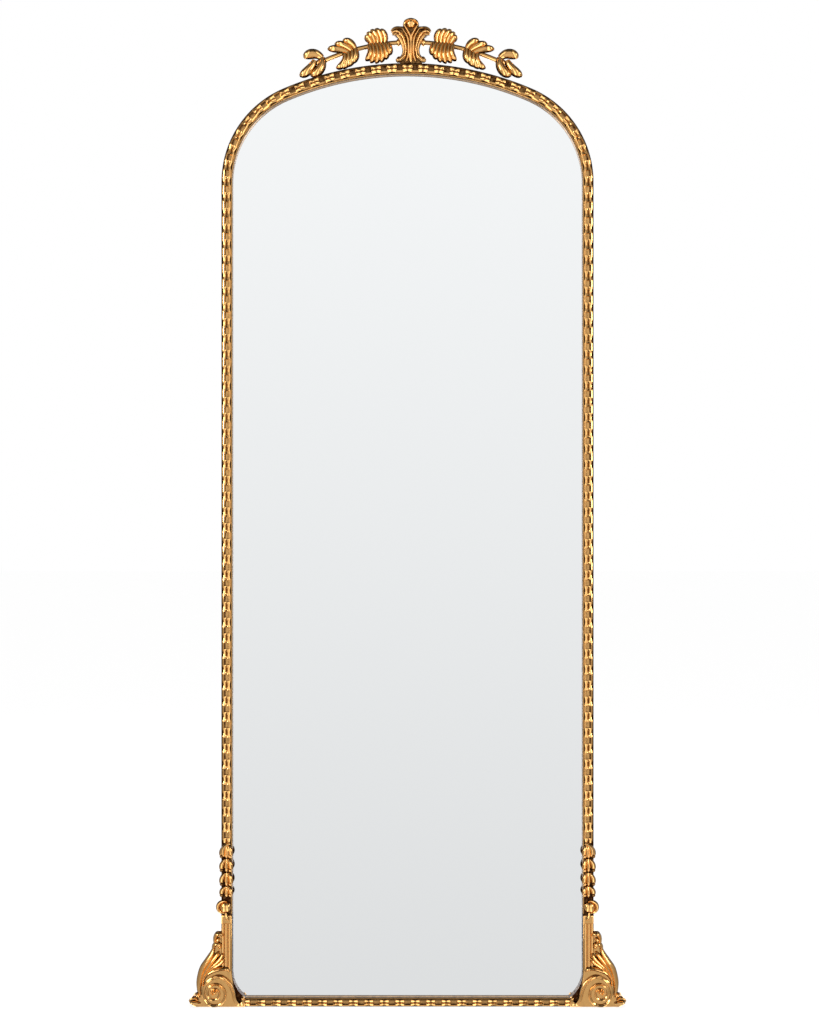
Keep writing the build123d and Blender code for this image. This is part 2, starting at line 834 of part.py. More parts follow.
def pan_screws(spots, seat, length):
    """Pan-head screws driven forwards, with their heads behind a seat."""
    with BuildPart() as screws:
        with BuildSketch(Plane.XZ.offset(seat - screw_head_height)):
            with Locations(*spots):
                RegularPolygon(screw_head_radius, screw_head_sides)
        extrude(amount=screw_head_height)
        with BuildSketch(Plane.XZ.offset(seat)):
            with Locations(*spots):
                RegularPolygon(screw_radius, shank_sides)
        extrude(amount=length)
    return screws


keep(pan_screws(screw_spots, back_recess, screw_length), "board_screws")
keep(
    pan_screws(hanger_spots, back_recess - strap_thickness, hanger_screw_length + strap_thickness - 0.5),
    "hanger_screws",
)

# Hanger straps with their rings hanging down

with BuildPart() as left_strap:
    with BuildSketch(Plane.XZ.offset(back_recess - strap_thickness)):
        with Locations((-hanger_x, hanger_height - 1)):
            Rectangle(strap_width, strap_length, align=(Align.CENTER, Align.MAX))
        with Locations(*hanger_spots[:2]):
            RegularPolygon(screw_radius + board_hole_gap, shank_sides, mode=Mode.SUBTRACT)
    extrude(amount=strap_thickness)
    knuckle_end = Plane(
        origin=(-hanger_x - strap_width / 2, -knuckle_depth, hanger_height), x_dir=(0, 1, 0), z_dir=(1, 0, 0)
    )
    with BuildSketch(knuckle_end):
        RegularPolygon(knuckle_bore + knuckle_wall, knuckle_sides, major_radius=False)
    extrude(amount=strap_width)
    with BuildSketch(knuckle_end):
        RegularPolygon(knuckle_bore, knuckle_sides, major_radius=False)
    extrude(amount=strap_width, mode=Mode.SUBTRACT)
keep(left_strap, "left_hanger_strap")
keep(mirrored(left_strap.part), "right_hanger_strap")

half_ring = ring_width / 2 - ring_wire_radius
wire_outline = polygon_points(ring_wire_radius, ring_sides)
bar_rings = []
for side in (-1, 1):
    bar_end = (-hanger_x + side * (half_ring + ring_wire_radius), -knuckle_depth, hanger_height)
    bar_rings.append(ring_on(Plane(origin=bar_end, x_dir=(0, 1, 0), z_dir=(1, 0, 0)), wire_outline))
bow_rings = []
for step in range(ring_bow_spans + 1):
    angle = math.pi * step / ring_bow_spans
    across = math.cos(angle)
    down = math.sin(angle)
    centre = Vector(-hanger_x + half_ring * across, -knuckle_depth, hanger_height - ring_drop * down)
    along = Vector(-half_ring * down, 0, -ring_drop * across)
    bow_rings.append(ring_on(Plane(origin=centre, x_dir=(0, 1, 0), z_dir=along), wire_outline))
with BuildPart() as left_ring:
    add(faceted_loft(bar_rings))
    add(faceted_loft(bow_rings))
keep(left_ring, "left_hanger_ring")
keep(mirrored(left_ring.part), "right_hanger_ring")

# Rubber bumpers behind the corner castings

with BuildPart() as wall_bumpers:
    with BuildSketch(Plane.XZ.offset(-bumper_thickness)):
        with Locations((-half_width - bumper_offset, bumper_height), (half_width + bumper_offset, bumper_height)):
            RegularPolygon(bumper_radius, turned_sides)
    extrude(amount=bumper_thickness)
keep(wall_bumpers, "wall_bumpers")

for piece in pieces:
    print(f"{piece.label:26s} volume {piece.volume:10.0f} solids {len(piece.solids())}")
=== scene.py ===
"""Arched full-length wall mirror in a cast gold frame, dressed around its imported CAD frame."""

import math
import bpy
from mathutils import Matrix, Vector


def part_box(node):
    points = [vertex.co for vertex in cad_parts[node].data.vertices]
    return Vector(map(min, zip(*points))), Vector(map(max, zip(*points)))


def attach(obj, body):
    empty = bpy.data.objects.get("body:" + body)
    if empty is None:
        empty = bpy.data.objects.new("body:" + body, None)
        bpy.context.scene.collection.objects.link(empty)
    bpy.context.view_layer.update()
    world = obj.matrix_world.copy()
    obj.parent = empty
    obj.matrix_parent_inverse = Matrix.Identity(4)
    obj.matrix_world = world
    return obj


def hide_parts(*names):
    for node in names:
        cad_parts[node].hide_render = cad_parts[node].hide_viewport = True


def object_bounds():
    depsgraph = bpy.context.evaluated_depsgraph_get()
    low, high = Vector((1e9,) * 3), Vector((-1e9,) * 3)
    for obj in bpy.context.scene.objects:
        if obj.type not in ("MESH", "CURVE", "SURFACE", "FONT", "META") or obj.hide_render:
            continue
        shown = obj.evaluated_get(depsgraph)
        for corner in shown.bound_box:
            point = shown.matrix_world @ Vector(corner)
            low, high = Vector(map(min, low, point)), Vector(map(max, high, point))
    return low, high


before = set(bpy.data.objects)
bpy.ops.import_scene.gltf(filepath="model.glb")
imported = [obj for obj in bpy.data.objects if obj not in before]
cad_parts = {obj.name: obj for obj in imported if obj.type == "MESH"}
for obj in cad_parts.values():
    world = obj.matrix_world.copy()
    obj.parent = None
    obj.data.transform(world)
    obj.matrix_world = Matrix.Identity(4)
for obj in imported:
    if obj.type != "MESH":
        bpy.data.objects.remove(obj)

bl_info = {
    "name": "Arched wall mirror",
    "version": (1, 0, 0),
    "blender": (4, 5, 0),
    "location": "3D View > Sidebar > Mirror",
    "description": "Models a tall arched mirror with a beaded gold frame, scrolled feet and a leafy crest",
    "category": "Add Mesh",
}

MM = 0.001
FRONT = Vector((0, -1, 0))
BODY = "frame"
GOLD = "polished gold plating on a zinc casting"
ZINC = "bright zinc-plated steel"

# Width of moulding at which the lips and the links have their plain sizes
FULL_WIDTH = 19 * MM
# Heights between which a husk drop hangs on its stile
HUSK_TOP, HUSK_FOOT = 287 * MM, 190 * MM

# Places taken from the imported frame; a depth is a distance forwards from the back plane
stile_low, stile_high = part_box("left_stile_moulding")
strap_low, strap_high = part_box("left_hanger_strap")
ring_low, ring_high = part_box("left_hanger_ring")
bumper_low, bumper_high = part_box("wall_bumpers")
board_low, board_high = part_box("backboard")
board_front, board_back = -board_low[1], -board_high[1]
glass_front = -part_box("mirror_glass")[0][1]
crown_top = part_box("crown_moulding")[1][2]
corner_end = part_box("left_corner_scroll")[1][0]
cad_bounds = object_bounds()


# Settings that a user would change


def length(label, value, note):
    return bpy.props.FloatProperty(name=label, description=note, default=value, unit="LENGTH")


def linear(hex_colour):
    """Linear red, green and blue of an sRGB hex colour."""
    values = [int(hex_colour[i:i + 2], 16) / 255 for i in (1, 3, 5)]
    return [v / 12.92 if v <= 0.04045 else ((v + 0.055) / 1.055) ** 2.4 for v in values]


def colour(label, hex_colour, note):
    value = linear(hex_colour)
    return bpy.props.FloatVectorProperty(name=label, description=note, default=value, subtype="COLOR")


class MirrorFrameSizes(bpy.types.PropertyGroup):
    crown_radius: length("Crown radius", 0.554, "Radius of the arch's top")
    shoulder_radius: length("Shoulder radius", 0.1775, "Radius of the arch's shoulders")
    spring_height: length("Spring height", stile_high[2], "Height at which the stiles turn into the arch")
    moulding_width: length("Moulding width", stile_high[0] - stile_low[0], "Width seen from the front")
    rail_height: length("Rail height", 0.015, "Height of the bottom rail from the front")
    link_pitch: length("Link pitch", 0.0275, "Length of one link of the beaded chain")
    link_width: length("Link width", 0.0146, "Width of a link at its belly")
    waist_width: length("Waist width", 0.0118, "Width of the chain between two links")
    trough_depth: length("Trough depth", 0.0248, "From the back plane to the floor behind the chain")
    lip_depth: length("Lip depth", 0.026, "From the back plane to the lips beside the chain")
    chain_depth: length("Chain depth", 0.031, "From the back plane to the front of the links")
    pocket_depth: length("Pocket depth", 0.0026, "Depth of the pocket in each link")


class MirrorOrnamentSizes(bpy.types.PropertyGroup):
    crest_shift: length("Crest shift", 0.006, "How far the crest stands to the right of the middle")
    rod_radius: length("Rod radius", 0.004, "Radius of the bent rod that carries the leaves")
    rod_arc: length("Rod arc", 0.375, "Radius along which the rod is bent")
    rod_rise: length("Rod rise", 0.0385, "Height of the rod's middle over the crown")
    rod_depth: length("Rod depth", 0.018, "Distance from the back plane to the rod's axis")
    ribbon_width: length("Ribbon width", 0.0078, "Width of the volute's ribbon at its widest")
    button_radius: length("Button radius", 0.0093, "Radius of the rosette's button")


class MirrorFinishes(bpy.types.PropertyGroup):
    gold: colour("Gold", "#DFAB69", "Polished gold plating on the raised forms")
    # This brown paints both the antiquing and the shade in recesses, pockets and dark tops
    patina_and_shade: colour("Patina", "#32180A", "Brown antiquing left in the recesses")
    silvering: colour("Silvering", "#F8FAFB", "Silver behind clear glass")
    fibreboard: colour("Fibreboard", "#7A5A3E", "Bare brown fibreboard")
    zinc: colour("Zinc", "#B9BCC0", "Bright zinc plating")
    foam: colour("Foam", "#171717", "Black foam tape")
    bumper: colour("Bumper", "#C9C8C2", "Soft translucent rubber")


# Modelling helpers


def deselect():
    if bpy.context.object and bpy.context.object.mode != "OBJECT":
        bpy.ops.object.mode_set(mode="OBJECT")
    bpy.ops.object.select_all(action="DESELECT")


def take(piece):
    """Makes one object the only one selected, and the active one."""
    deselect()
    piece.select_set(True)
    bpy.context.view_layer.objects.active = piece


def settle(piece, smooth=40):
    """Applies a piece's place, closes its seams, points its faces outwards and smooths its shading."""
    take(piece)
    bpy.ops.object.transform_apply(location=True, rotation=True, scale=True)
    bpy.ops.object.mode_set(mode="EDIT")
    bpy.ops.mesh.select_all(action="SELECT")
    bpy.ops.mesh.remove_doubles(threshold=0.01 * MM)
    bpy.ops.mesh.normals_make_consistent(inside=False)
    bpy.ops.object.mode_set(mode="OBJECT")
    bpy.ops.object.shade_smooth_by_angle(angle=math.radians(smooth))
    return piece


def copied(piece):
    """A copy of a piece with a mesh of its own."""
    copy = piece.copy()
    copy.data = piece.data.copy()
    bpy.context.collection.objects.link(copy)
    return copy


def drum(centre, turned, radius, depth, sides):
    """An upright cylinder laid down by a quarter turn about the X or the Y axis."""
    deselect()
    bpy.ops.mesh.primitive_cylinder_add(vertices=sides, radius=radius, depth=depth, location=centre)
    bpy.ops.transform.rotate(value=math.radians(-90), orient_axis=turned, center_override=centre)
    return bpy.context.object


def soften(piece, width):
    """Rounds the sharp edges of a piece."""
    take(piece)
    bevel = piece.modifiers.new("rounded edges", "BEVEL")
    bevel.width = width
    bevel.segments = 3
    bevel.angle_limit = math.radians(60)
    bpy.ops.object.modifier_apply(modifier=bevel.name)


def cut_out(piece, cutter):
    """Cuts the shape of another piece out of this one."""
    take(piece)
    cut = piece.modifiers.new("cut", "BOOLEAN")
    cut.operation = "DIFFERENCE"
    cut.object = cutter
    bpy.ops.object.modifier_apply(modifier=cut.name)
    bpy.data.objects.remove(cutter)


def drawn_face(points):
    """A flat face drawn corner by corner, left in edit mode with all of it selected."""
    deselect()
    bpy.ops.mesh.primitive_plane_add(size=MM)
    bpy.ops.object.mode_set(mode="EDIT")
    bpy.ops.mesh.merge(type="CENTER")
    bpy.ops.transform.translate(value=points[0])
    for start, end in zip(points, points[1:]):
        bpy.ops.mesh.extrude_region_move(TRANSFORM_OT_translate={"value": end - start})
    bpy.ops.mesh.select_all(action="SELECT")
    bpy.ops.mesh.edge_face_add()
    return bpy.context.object


def set_patina_and_shade(piece, values):
    """Stores how dark each point is painted, from 0 on a rubbed crest to 1 in a recess: real antiquing
    together with painted shade.
    """
    attribute = piece.data.attributes.get("patina_and_shade") or piece.data.attributes.new("patina_and_shade", "FLOAT", "POINT")
    attribute.data.foreach_set("value", values)


def front(x, z, depth):
    """A point by its place in the front view and its distance forwards from the back plane."""
    return Vector((x, -depth, z))


def arc(start, middle, end, steps):
    """Points along the circular arc through three points of the front view, the first one left out."""
    ax, az = start
    bx, bz = middle
    cx, cz = end
    d = 2 * (ax * (bz - cz) + bx * (cz - az) + cx * (az - bz))
    a2, b2, c2 = ax * ax + az * az, bx * bx + bz * bz, cx * cx + cz * cz
    ox = (a2 * (bz - cz) + b2 * (cz - az) + c2 * (az - bz)) / d
    oz = (a2 * (cx - bx) + b2 * (ax - cx) + c2 * (bx - ax)) / d
    first = math.atan2(az - oz, ax - ox)
    sweep = (math.atan2(cz - oz, cx - ox) - first) % (2 * math.pi)
    if (math.atan2(bz - oz, bx - ox) - first) % (2 * math.pi) > sweep:
        sweep -= 2 * math.pi
    radius = math.hypot(ax - ox, az - oz)
    turns = [first + sweep * step / steps for step in range(1, steps + 1)]
    return [(ox + radius * math.cos(t), oz + radius * math.sin(t)) for t in turns]


def bowed(start, end, bulge, steps):
    """Points from start to end along an arc that bulges to the right of its way by a distance."""
    dx, dz = end[0] - start[0], end[1] - start[1]
    span = math.hypot(dx, dz)
    if abs(bulge) < 0.01 * MM:
        return [(start[0] + dx * s / steps, start[1] + dz * s / steps) for s in range(steps + 1)]
    middle = ((start[0] + end[0]) / 2 + bulge * dz / span, (start[1] + end[1]) / 2 - bulge * dx / span)
    return [start] + arc(start, middle, end, steps)


def flowing(points, steps):
    """A smooth path through points of the front view, with some steps between each two."""

    def between(p, q, r, s, t):
        slope, bend, twist = r - p, 2 * p - 5 * q + 4 * r - s, 3 * q - p - 3 * r + s
        return 0.5 * (2 * q + slope * t + bend * t * t + twist * t ** 3)

    path = [points[0]]
    for index in range(len(points) - 1):
        before, start, end = points[max(index - 1, 0)], points[index], points[index + 1]
        after = points[min(index + 2, len(points) - 1)]
        for step in range(1, steps + 1):
            path.append(tuple(between(*four, step / steps) for four in zip(before, start, end, after)))
    return path


# Cross-sections of swept forms: across, forwards, antiquing with painted shade at the foot and flanks

FINGER = [
    (-1.0, 0.0, 1.0), (1.0, 0.0, 1.0), (0.93, 0.36, 1.0), (0.68, 0.76, 0.4),
    (0.24, 1.0, 0.0), (-0.22, 0.93, 0.0), (-0.62, 0.64, 0.3), (-0.9, 0.3, 1.0),
]
REED = [
    (-1.0, 0.0, 0.9), (1.0, 0.0, 0.9), (0.9, 0.45, 0.3), (0.5, 0.9, 0.0),
    (0.0, 1.0, 0.0), (-0.5, 0.9, 0.0), (-0.9, 0.45, 0.3),
]
# The wings are painted dark all over: painted shade on their tops, with the antiquing
WING = [(across, rise, 0.85) for across, rise, _ in REED]
RIBBON = [
    (-1.0, 0.0, 1.0), (1.0, 0.0, 1.0), (0.95, 0.6, 0.6), (0.75, 0.9, 0.0),
    (0.4, 1.0, 0.0), (-0.1, 0.72, 0.2), (-0.6, 0.62, 0.2), (-0.9, 0.4, 0.6),
]
ROUND = [(math.cos(k * math.pi / 8), math.sin(k * math.pi / 8), 0.0) for k in range(16)]


# Width of swept forms along their length, as a share of the full width


def even(share):
    return 1.0


def plump(share):
    """A plump leaf with a round tip."""
    if share < 0.6:
        return 0.6 + 0.4 * math.sin(math.pi / 2 * share / 0.6)
    return max(0.2, math.sqrt(max(0.0, 1 - ((share - 0.6) / 0.41) ** 2)))


def swelling(ends):
    """A form that swells from a share of its width at both ends to its full width halfway."""

    def profile(share):
        return ends + (1 - ends) * math.sin(math.pi * share)

    return profile


def ribbon_taper(share):
    """The volute's ribbon, which swells over its first turn and narrows towards its eye."""
    return 0.8 + 0.2 * math.sin(math.pi * min(share * 2.5, 1)) - 0.3 * share


def drawn_curve(points, radii, closed):
    """A flat curve through points of its own plane, left as the only object selected."""
    deselect()
    bpy.ops.curve.primitive_nurbs_path_add()
    piece = bpy.context.object
    piece.data.dimensions = "2D"
    piece.data.splines.clear()
    spline = piece.data.splines.new("POLY")
    spline.points.add(len(points) - 1)
    for knot, (u, v), radius in zip(spline.points, points, radii):
        knot.co = (u, v, 0, 1)
        knot.radius = radius
    spline.use_cyclic_u = closed
    return piece


def swept(path, section, width, relief, depth, profile=even, closed=False):
    """A form swept along a path of the front view; its section keeps its height towards the front."""
    outline = drawn_curve([(u * width / 2, v * relief) for u, v, _ in section], [1.0] * len(section), True)
    last = len(path) - 1
    form = drawn_curve(path, [profile(step / last) for step in range(len(path))], closed)
    form.data.bevel_mode = "OBJECT"
    form.data.bevel_object = outline
    form.data.use_fill_caps = not closed
    bpy.ops.object.convert(target="MESH")
    points = len(form.data.vertices)
    set_patina_and_shade(form, [section[index % len(section)][2] for index in range(points)])
    form.rotation_euler = (math.radians(90), 0, 0)
    form.location = (0, -depth, 0)
    settle(form)
    bpy.data.objects.remove(outline)
    return form


def plate(points, back, face, rounding, patina_and_shade=0.0):
    """A flat casting with a drawn outline and a rounded front edge."""
    piece = drawn_face([front(x, z, back) for x, z in points])
    bpy.ops.mesh.extrude_region_move(TRANSFORM_OT_translate={"value": FRONT * (face - back)})
    bpy.ops.object.mode_set(mode="OBJECT")
    settle(piece)
    if rounding:
        weights = piece.data.attributes.new("bevel_weight_edge", "FLOAT", "EDGE")
        heights = [-v.co.y for v in piece.data.vertices]
        at_face = [all(heights[i] > face - 0.05 * MM for i in edge.vertices) for edge in piece.data.edges]
        weights.data.foreach_set("value", [1.0 if on_face else 0.0 for on_face in at_face])
        bevel = piece.modifiers.new("rounded edge", "BEVEL")
        bevel.limit_method = "WEIGHT"
        bevel.width = rounding
        bevel.segments = 3
        take(piece)
        bpy.ops.object.modifier_apply(modifier=bevel.name)
        bpy.ops.object.shade_smooth_by_angle(angle=math.radians(40))
    set_patina_and_shade(piece, [patina_and_shade] * len(piece.data.vertices))
    return piece


def dome(x, z, depth, radius, rise, patina_and_shade=0.0):
    """A flattened ball that stands out towards the front."""
    deselect()
    bpy.ops.mesh.primitive_uv_sphere_add(
        segments=28, ring_count=14, radius=radius, location=front(x, z, depth)
    )
    bpy.ops.transform.resize(value=(1, rise / radius, 1))
    piece = settle(bpy.context.object)
    set_patina_and_shade(piece, [patina_and_shade] * len(piece.data.vertices))
    return piece


def merged(parts, name):
    """Several forms joined into one named piece, placed at the origin."""
    deselect()
    for part in parts:
        part.select_set(True)
    bpy.context.view_layer.objects.active = parts[0]
    if len(parts) > 1:
        bpy.ops.object.join()
    piece = bpy.context.object
    piece.name = name
    piece.data.name = name
    bpy.ops.object.transform_apply(location=True, rotation=True, scale=True)
    return piece


def twin(piece, name, across=0.0):
    """The same piece for the other side, mirrored across an upright plane."""
    copy = copied(piece)
    take(copy)
    bpy.ops.transform.mirror(constraint_axis=(True, False, False), center_override=(across, 0, 0))
    copy.name = name
    copy.data.name = name
    return settle(copy)


def dress(piece, material, slot, *nodes, body=BODY):
    """Gives a piece its finish, puts it under the body that carries it, and hides the CAD nodes it stands
    for.
    """
    piece.data.materials.clear()
    piece.data.materials.append(material)
    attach(piece, body)
    if nodes:
        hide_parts(*nodes)


# Materials


def add_node(tree, kind, settings=None, links=None):
    """Adds a node, sets its own settings or its sockets, and links sockets, by name or by number."""
    node = tree.nodes.new(kind)
    for key, value in (settings or {}).items():
        if isinstance(key, str) and hasattr(node, key):
            setattr(node, key, value)
        else:
            node.inputs[key].default_value = value
    for key, socket in (links or {}).items():
        tree.links.new(socket, node.inputs[key])
    return node


def new_material(name, **sockets):
    """A material with its Principled shader's sockets set; returns it, its tree and the shader."""
    material = bpy.data.materials.new(name)
    material.use_nodes = True
    tree = material.node_tree
    shader = tree.nodes["Principled BSDF"]
    for key, value in sockets.items():
        shader.inputs[key.replace("_", " ")].default_value = value
    return material, tree, shader


def opaque(rgb):
    return (*rgb, 1.0)


def gold_plating(finishes):
    """Gold-plated zinc casting, polished: bright crests, and brown in the recesses that is partly antiquing
    and partly painted shade.
    """
    material, tree, shader = new_material(GOLD, Metallic=1.0)
    place = add_node(tree, "ShaderNodeTexCoord").outputs["Object"]
    antiquing_and_shade = add_node(tree, "ShaderNodeAttribute", {"attribute_name": "patina_and_shade"}).outputs["Fac"]
    # The rubbed edges of the antiquing and of the painted shade wander over about 6 mm, by a quarter of its
    # range either way
    wander = add_node(tree, "ShaderNodeTexNoise", {"Scale": 1 / (6 * MM), "Detail": 2.0}, {"Vector": place})
    to_shift = {"operation": "MULTIPLY_ADD", 1: 0.5, 2: -0.25}
    shift = add_node(tree, "ShaderNodeMath", to_shift, {0: wander.outputs["Fac"]})
    amount = add_node(tree, "ShaderNodeMath", {"operation": "ADD"}, {0: antiquing_and_shade, 1: shift.outputs[0]})
    darkening_range = {"From Min": 0.3, "From Max": 1.0}
    darkening = add_node(tree, "ShaderNodeMapRange", darkening_range, {"Value": amount.outputs[0]}).outputs[0]
    # The brown mixed in here is antiquing together with painted shade in recesses, pockets and dark tops
    colours = {"data_type": "RGBA", 6: opaque(finishes.gold), 7: opaque(finishes.patina_and_shade)}
    blend = add_node(tree, "ShaderNodeMix", colours, {0: darkening})
    matt = add_node(tree, "ShaderNodeMapRange", {"To Min": 0.11, "To Max": 0.38}, {"Value": darkening})
    # Hand polishing leaves the cast skin uneven over about 9 mm
    skin = add_node(tree, "ShaderNodeTexNoise", {"Scale": 1 / (9 * MM), "Detail": 1.0}, {"Vector": place})
    waves = {"Strength": 0.35, "Distance": 0.6 * MM}
    relief = add_node(tree, "ShaderNodeBump", waves, {"Height": skin.outputs["Fac"]})
    tree.links.new(blend.outputs[2], shader.inputs["Base Color"])
    tree.links.new(matt.outputs[0], shader.inputs["Roughness"])
    tree.links.new(relief.outputs[0], shader.inputs["Normal"])
    return material


def silvered_glass(finishes):
    """Silvered float glass: a perfect, faintly cool reflection."""
    silver = opaque(finishes.silvering)
    return new_material("silvered float glass", Base_Color=silver, Metallic=1.0, Roughness=0.0)[0]


def fibreboard(finishes):
    """Medium-density fibreboard: flat brown with fine pressed fibres about 1 mm long."""
    material, tree, shader = new_material("medium-density fibreboard", Roughness=0.85)
    place = add_node(tree, "ShaderNodeTexCoord").outputs["Object"]
    grain = {"Scale": 1 / (1.2 * MM), "Detail": 3.0}
    fibres = add_node(tree, "ShaderNodeTexNoise", grain, {"Vector": place})
    dark, light = (opaque([share * c for c in finishes.fibreboard]) for share in (0.75, 1.25))
    colours = {"data_type": "RGBA", 6: dark, 7: light}
    blend = add_node(tree, "ShaderNodeMix", colours, {0: fibres.outputs["Fac"]})
    tree.links.new(blend.outputs[2], shader.inputs["Base Color"])
    return material


def zinc_plating(finishes):
    """Bright zinc-plated steel, stamped: slightly soft reflections."""
    return new_material(ZINC, Base_Color=opaque(finishes.zinc), Metallic=1.0, Roughness=0.28)[0]


def foam_tape(finishes):
    """Closed-cell foam tape: matt black."""
    return new_material("closed-cell foam tape", Base_Color=opaque(finishes.foam), Roughness=0.95)[0]


def clear_rubber(finishes):
    """Moulded soft rubber: waxy and slightly cloudy."""
    cloudy = opaque(finishes.bumper)
    return new_material("moulded soft rubber", Base_Color=cloudy, Roughness=0.45, Subsurface_Weight=0.3)[0]


def finish(name, maker, finishes):
    """A material that several operators share, made by the first one that needs it."""
    return bpy.data.materials.get(name) or maker(finishes)


# Runs of the frame's outer edge


class Run:
    """A stretch of the outer edge, followed anticlockwise as seen from the front."""

    def __init__(self, start, heading, width, length=0.0, radius=0.0, turn=0.0):
        self.start = front(*start, 0)
        self.heading = heading
        self.radius = radius
        self.turn = turn
        self.width = width
        self.length = length or turn * (radius - width / 2)

    def along(self, heading):
        return Vector((math.cos(heading), 0, math.sin(heading)))

    def inward(self, heading):
        return Vector((-math.sin(heading), 0, math.cos(heading)))

    def centre(self):
        return self.start + self.inward(self.heading) * self.radius

    def inward_reach(self, point):
        """How far inwards of the outer edge a point lies."""
        if self.radius:
            spoke = point - self.centre()
            return self.radius - math.hypot(spoke.x, spoke.z)
        return (point - self.start).dot(self.inward(self.heading))

    def place(self, share):
        """Where a share of the run lies: x along it, y inwards, z forwards."""
        heading = self.heading + self.turn * share
        if self.radius:
            spot = self.centre() - self.inward(heading) * self.radius
        else:
            spot = self.start + self.along(heading) * (self.length * share)
        axes = Matrix((self.along(heading), self.inward(heading), FRONT)).transposed()
        return Matrix.Translation(spot) @ axes.to_4x4()


def runs(sizes):
    """The crown, left shoulder, left stile and bottom rail."""
    half = -stile_low[0]
    crown, shoulder, width = sizes.crown_radius, sizes.shoulder_radius, sizes.moulding_width
    lean = math.asin((half - shoulder) / (crown - shoulder))
    bend = math.pi / 2 - lean
    centre = sizes.spring_height - (crown - shoulder) * math.cos(lean)
    joint_x, joint_z = crown * math.sin(lean), centre + crown * math.cos(lean)
    fall = sizes.spring_height - stile_low[2]
    return {
        "crown": Run((joint_x, joint_z), math.pi - lean, width, radius=crown, turn=2 * lean),
        "shoulder": Run((-joint_x, joint_z), math.pi + lean, width, radius=shoulder, turn=bend),
        "stile": Run((-half, sizes.spring_height), math.radians(270), width, length=fall),
        "rail": Run((corner_end, 0), 0.0, sizes.rail_height, length=-2 * corner_end),
    }


# Beaded mouldings


def body_section(sizes, width):
    """Section of a moulding's body: rim and rebate behind, and a trough between two lips in front."""
    rim, rebate = 2.5 * MM, 10 * MM
    lip = 2.6 * MM * width / FULL_WIDTH
    return [
        (0, 0),
        (0, sizes.lip_depth - 0.8 * MM),
        (0.7 * MM, sizes.lip_depth),
        (lip - 0.6 * MM, sizes.lip_depth),
        (lip, sizes.trough_depth),
        (width - lip, sizes.trough_depth),
        (width - lip + 0.6 * MM, sizes.lip_depth),
        (width - 0.9 * MM, sizes.lip_depth - 0.1 * MM),
        (width, sizes.lip_depth - 1.2 * MM),
        (width, glass_front),
        (rebate, glass_front),
        (rebate, board_front),
        (rim, board_front),
        (rim, 0),
    ]


def moulding_body(run, sizes):
    """The plain body of a length of moulding."""
    start = run.place(0)
    corners = [start @ Vector((0, inward, forward)) for inward, forward in body_section(sizes, run.width)]
    piece = drawn_face(corners)
    if run.radius:
        span = 6 * MM
        steps = round(run.length / span)
        # spin counts its angle the other way round its axis
        bpy.ops.mesh.spin(steps=steps, angle=-run.turn, center=run.centre(), axis=FRONT)
    else:
        along = run.along(run.heading) * run.length
        bpy.ops.mesh.extrude_region_move(TRANSFORM_OT_translate={"value": along})
    bpy.ops.object.mode_set(mode="OBJECT")
    settle(piece, 30)
    # The trough and the strip along the outer edge are painted dark, and the rest half dark: antiquing with
    # painted shade
    values = []
    for vertex in piece.data.vertices:
        in_trough = abs(-vertex.co.y - sizes.trough_depth) < 0.1 * MM
        outer_lip = run.inward_reach(vertex.co) < 0.3 * run.width
        values.append(1.0 if in_trough or outer_lip else 0.45)
    set_patina_and_shade(piece, values)
    return piece


def link_solid(sizes, scale, relief, pitch):
    """A link's plain solid along x from 0 to its pitch, swelling from its waists to its belly."""
    half_section = [(-1, 0), (-0.96, 0.8), (-0.62, 1), (-0.3, 0.98), (0, 0.98)]
    section = half_section + [(-y, z) for y, z in reversed(half_section[:-1])]
    # Share of the pitch, and share of the swell from waist to belly
    stations = [(0, 0), (0.1, 0.12), (0.25, 0.95), (0.3, 1), (0.7, 1), (0.75, 0.95), (0.9, 0.12), (1, 0)]
    swell = sizes.link_width - sizes.waist_width
    widths = [(sizes.waist_width + swell * share) * scale / 2 for _, share in stations]
    heights = [relief * (0.8 + 0.2 * share) for _, share in stations]
    piece = drawn_face([Vector((0, y * widths[0], z * heights[0])) for y, z in section])
    for step in range(1, len(stations)):
        x = stations[step][0] * pitch
        stride = x - stations[step - 1][0] * pitch
        growth = (1, widths[step] / widths[step - 1], heights[step] / heights[step - 1])
        bpy.ops.mesh.extrude_region_move(TRANSFORM_OT_translate={"value": (stride, 0, 0)})
        bpy.ops.transform.resize(value=growth, center_override=(x, 0, 0))
    bpy.ops.object.mode_set(mode="OBJECT")
    return settle(piece)


def press_pocket(piece, pitch, belly, relief, depth):
    """Sinks a pocket with a narrow rim into the front of a link's belly."""
    bpy.ops.object.mode_set(mode="EDIT")
    bpy.ops.mesh.select_mode(type="FACE")
    bpy.ops.mesh.select_all(action="DESELECT")
    bpy.ops.object.mode_set(mode="OBJECT")
    for face in piece.data.polygons:
        x, y, z = face.center
        face.select = abs(x - pitch / 2) < 0.22 * pitch and abs(y) < 0.3 * belly and z > 0.9 * relief
    bpy.ops.object.mode_set(mode="EDIT")
    bpy.ops.mesh.inset(thickness=0.9 * MM, depth=-depth)
    bpy.ops.mesh.select_mode(type="VERT")
    bpy.ops.mesh.select_all(action="DESELECT")
    bpy.ops.object.mode_set(mode="OBJECT")


def groove_waists(piece, pitch, relief):
    """Draws a groove along the middle of a link's two waists."""
    for vertex in piece.data.vertices:
        x, y, z = vertex.co
        vertex.select = abs(x / pitch - 0.5) > 0.24 and abs(y) < 0.1 * MM and z > 0.5 * relief
    bpy.ops.object.mode_set(mode="EDIT")
    bpy.ops.transform.translate(value=(0, 0, -1.9 * MM))
    bpy.ops.object.mode_set(mode="OBJECT")


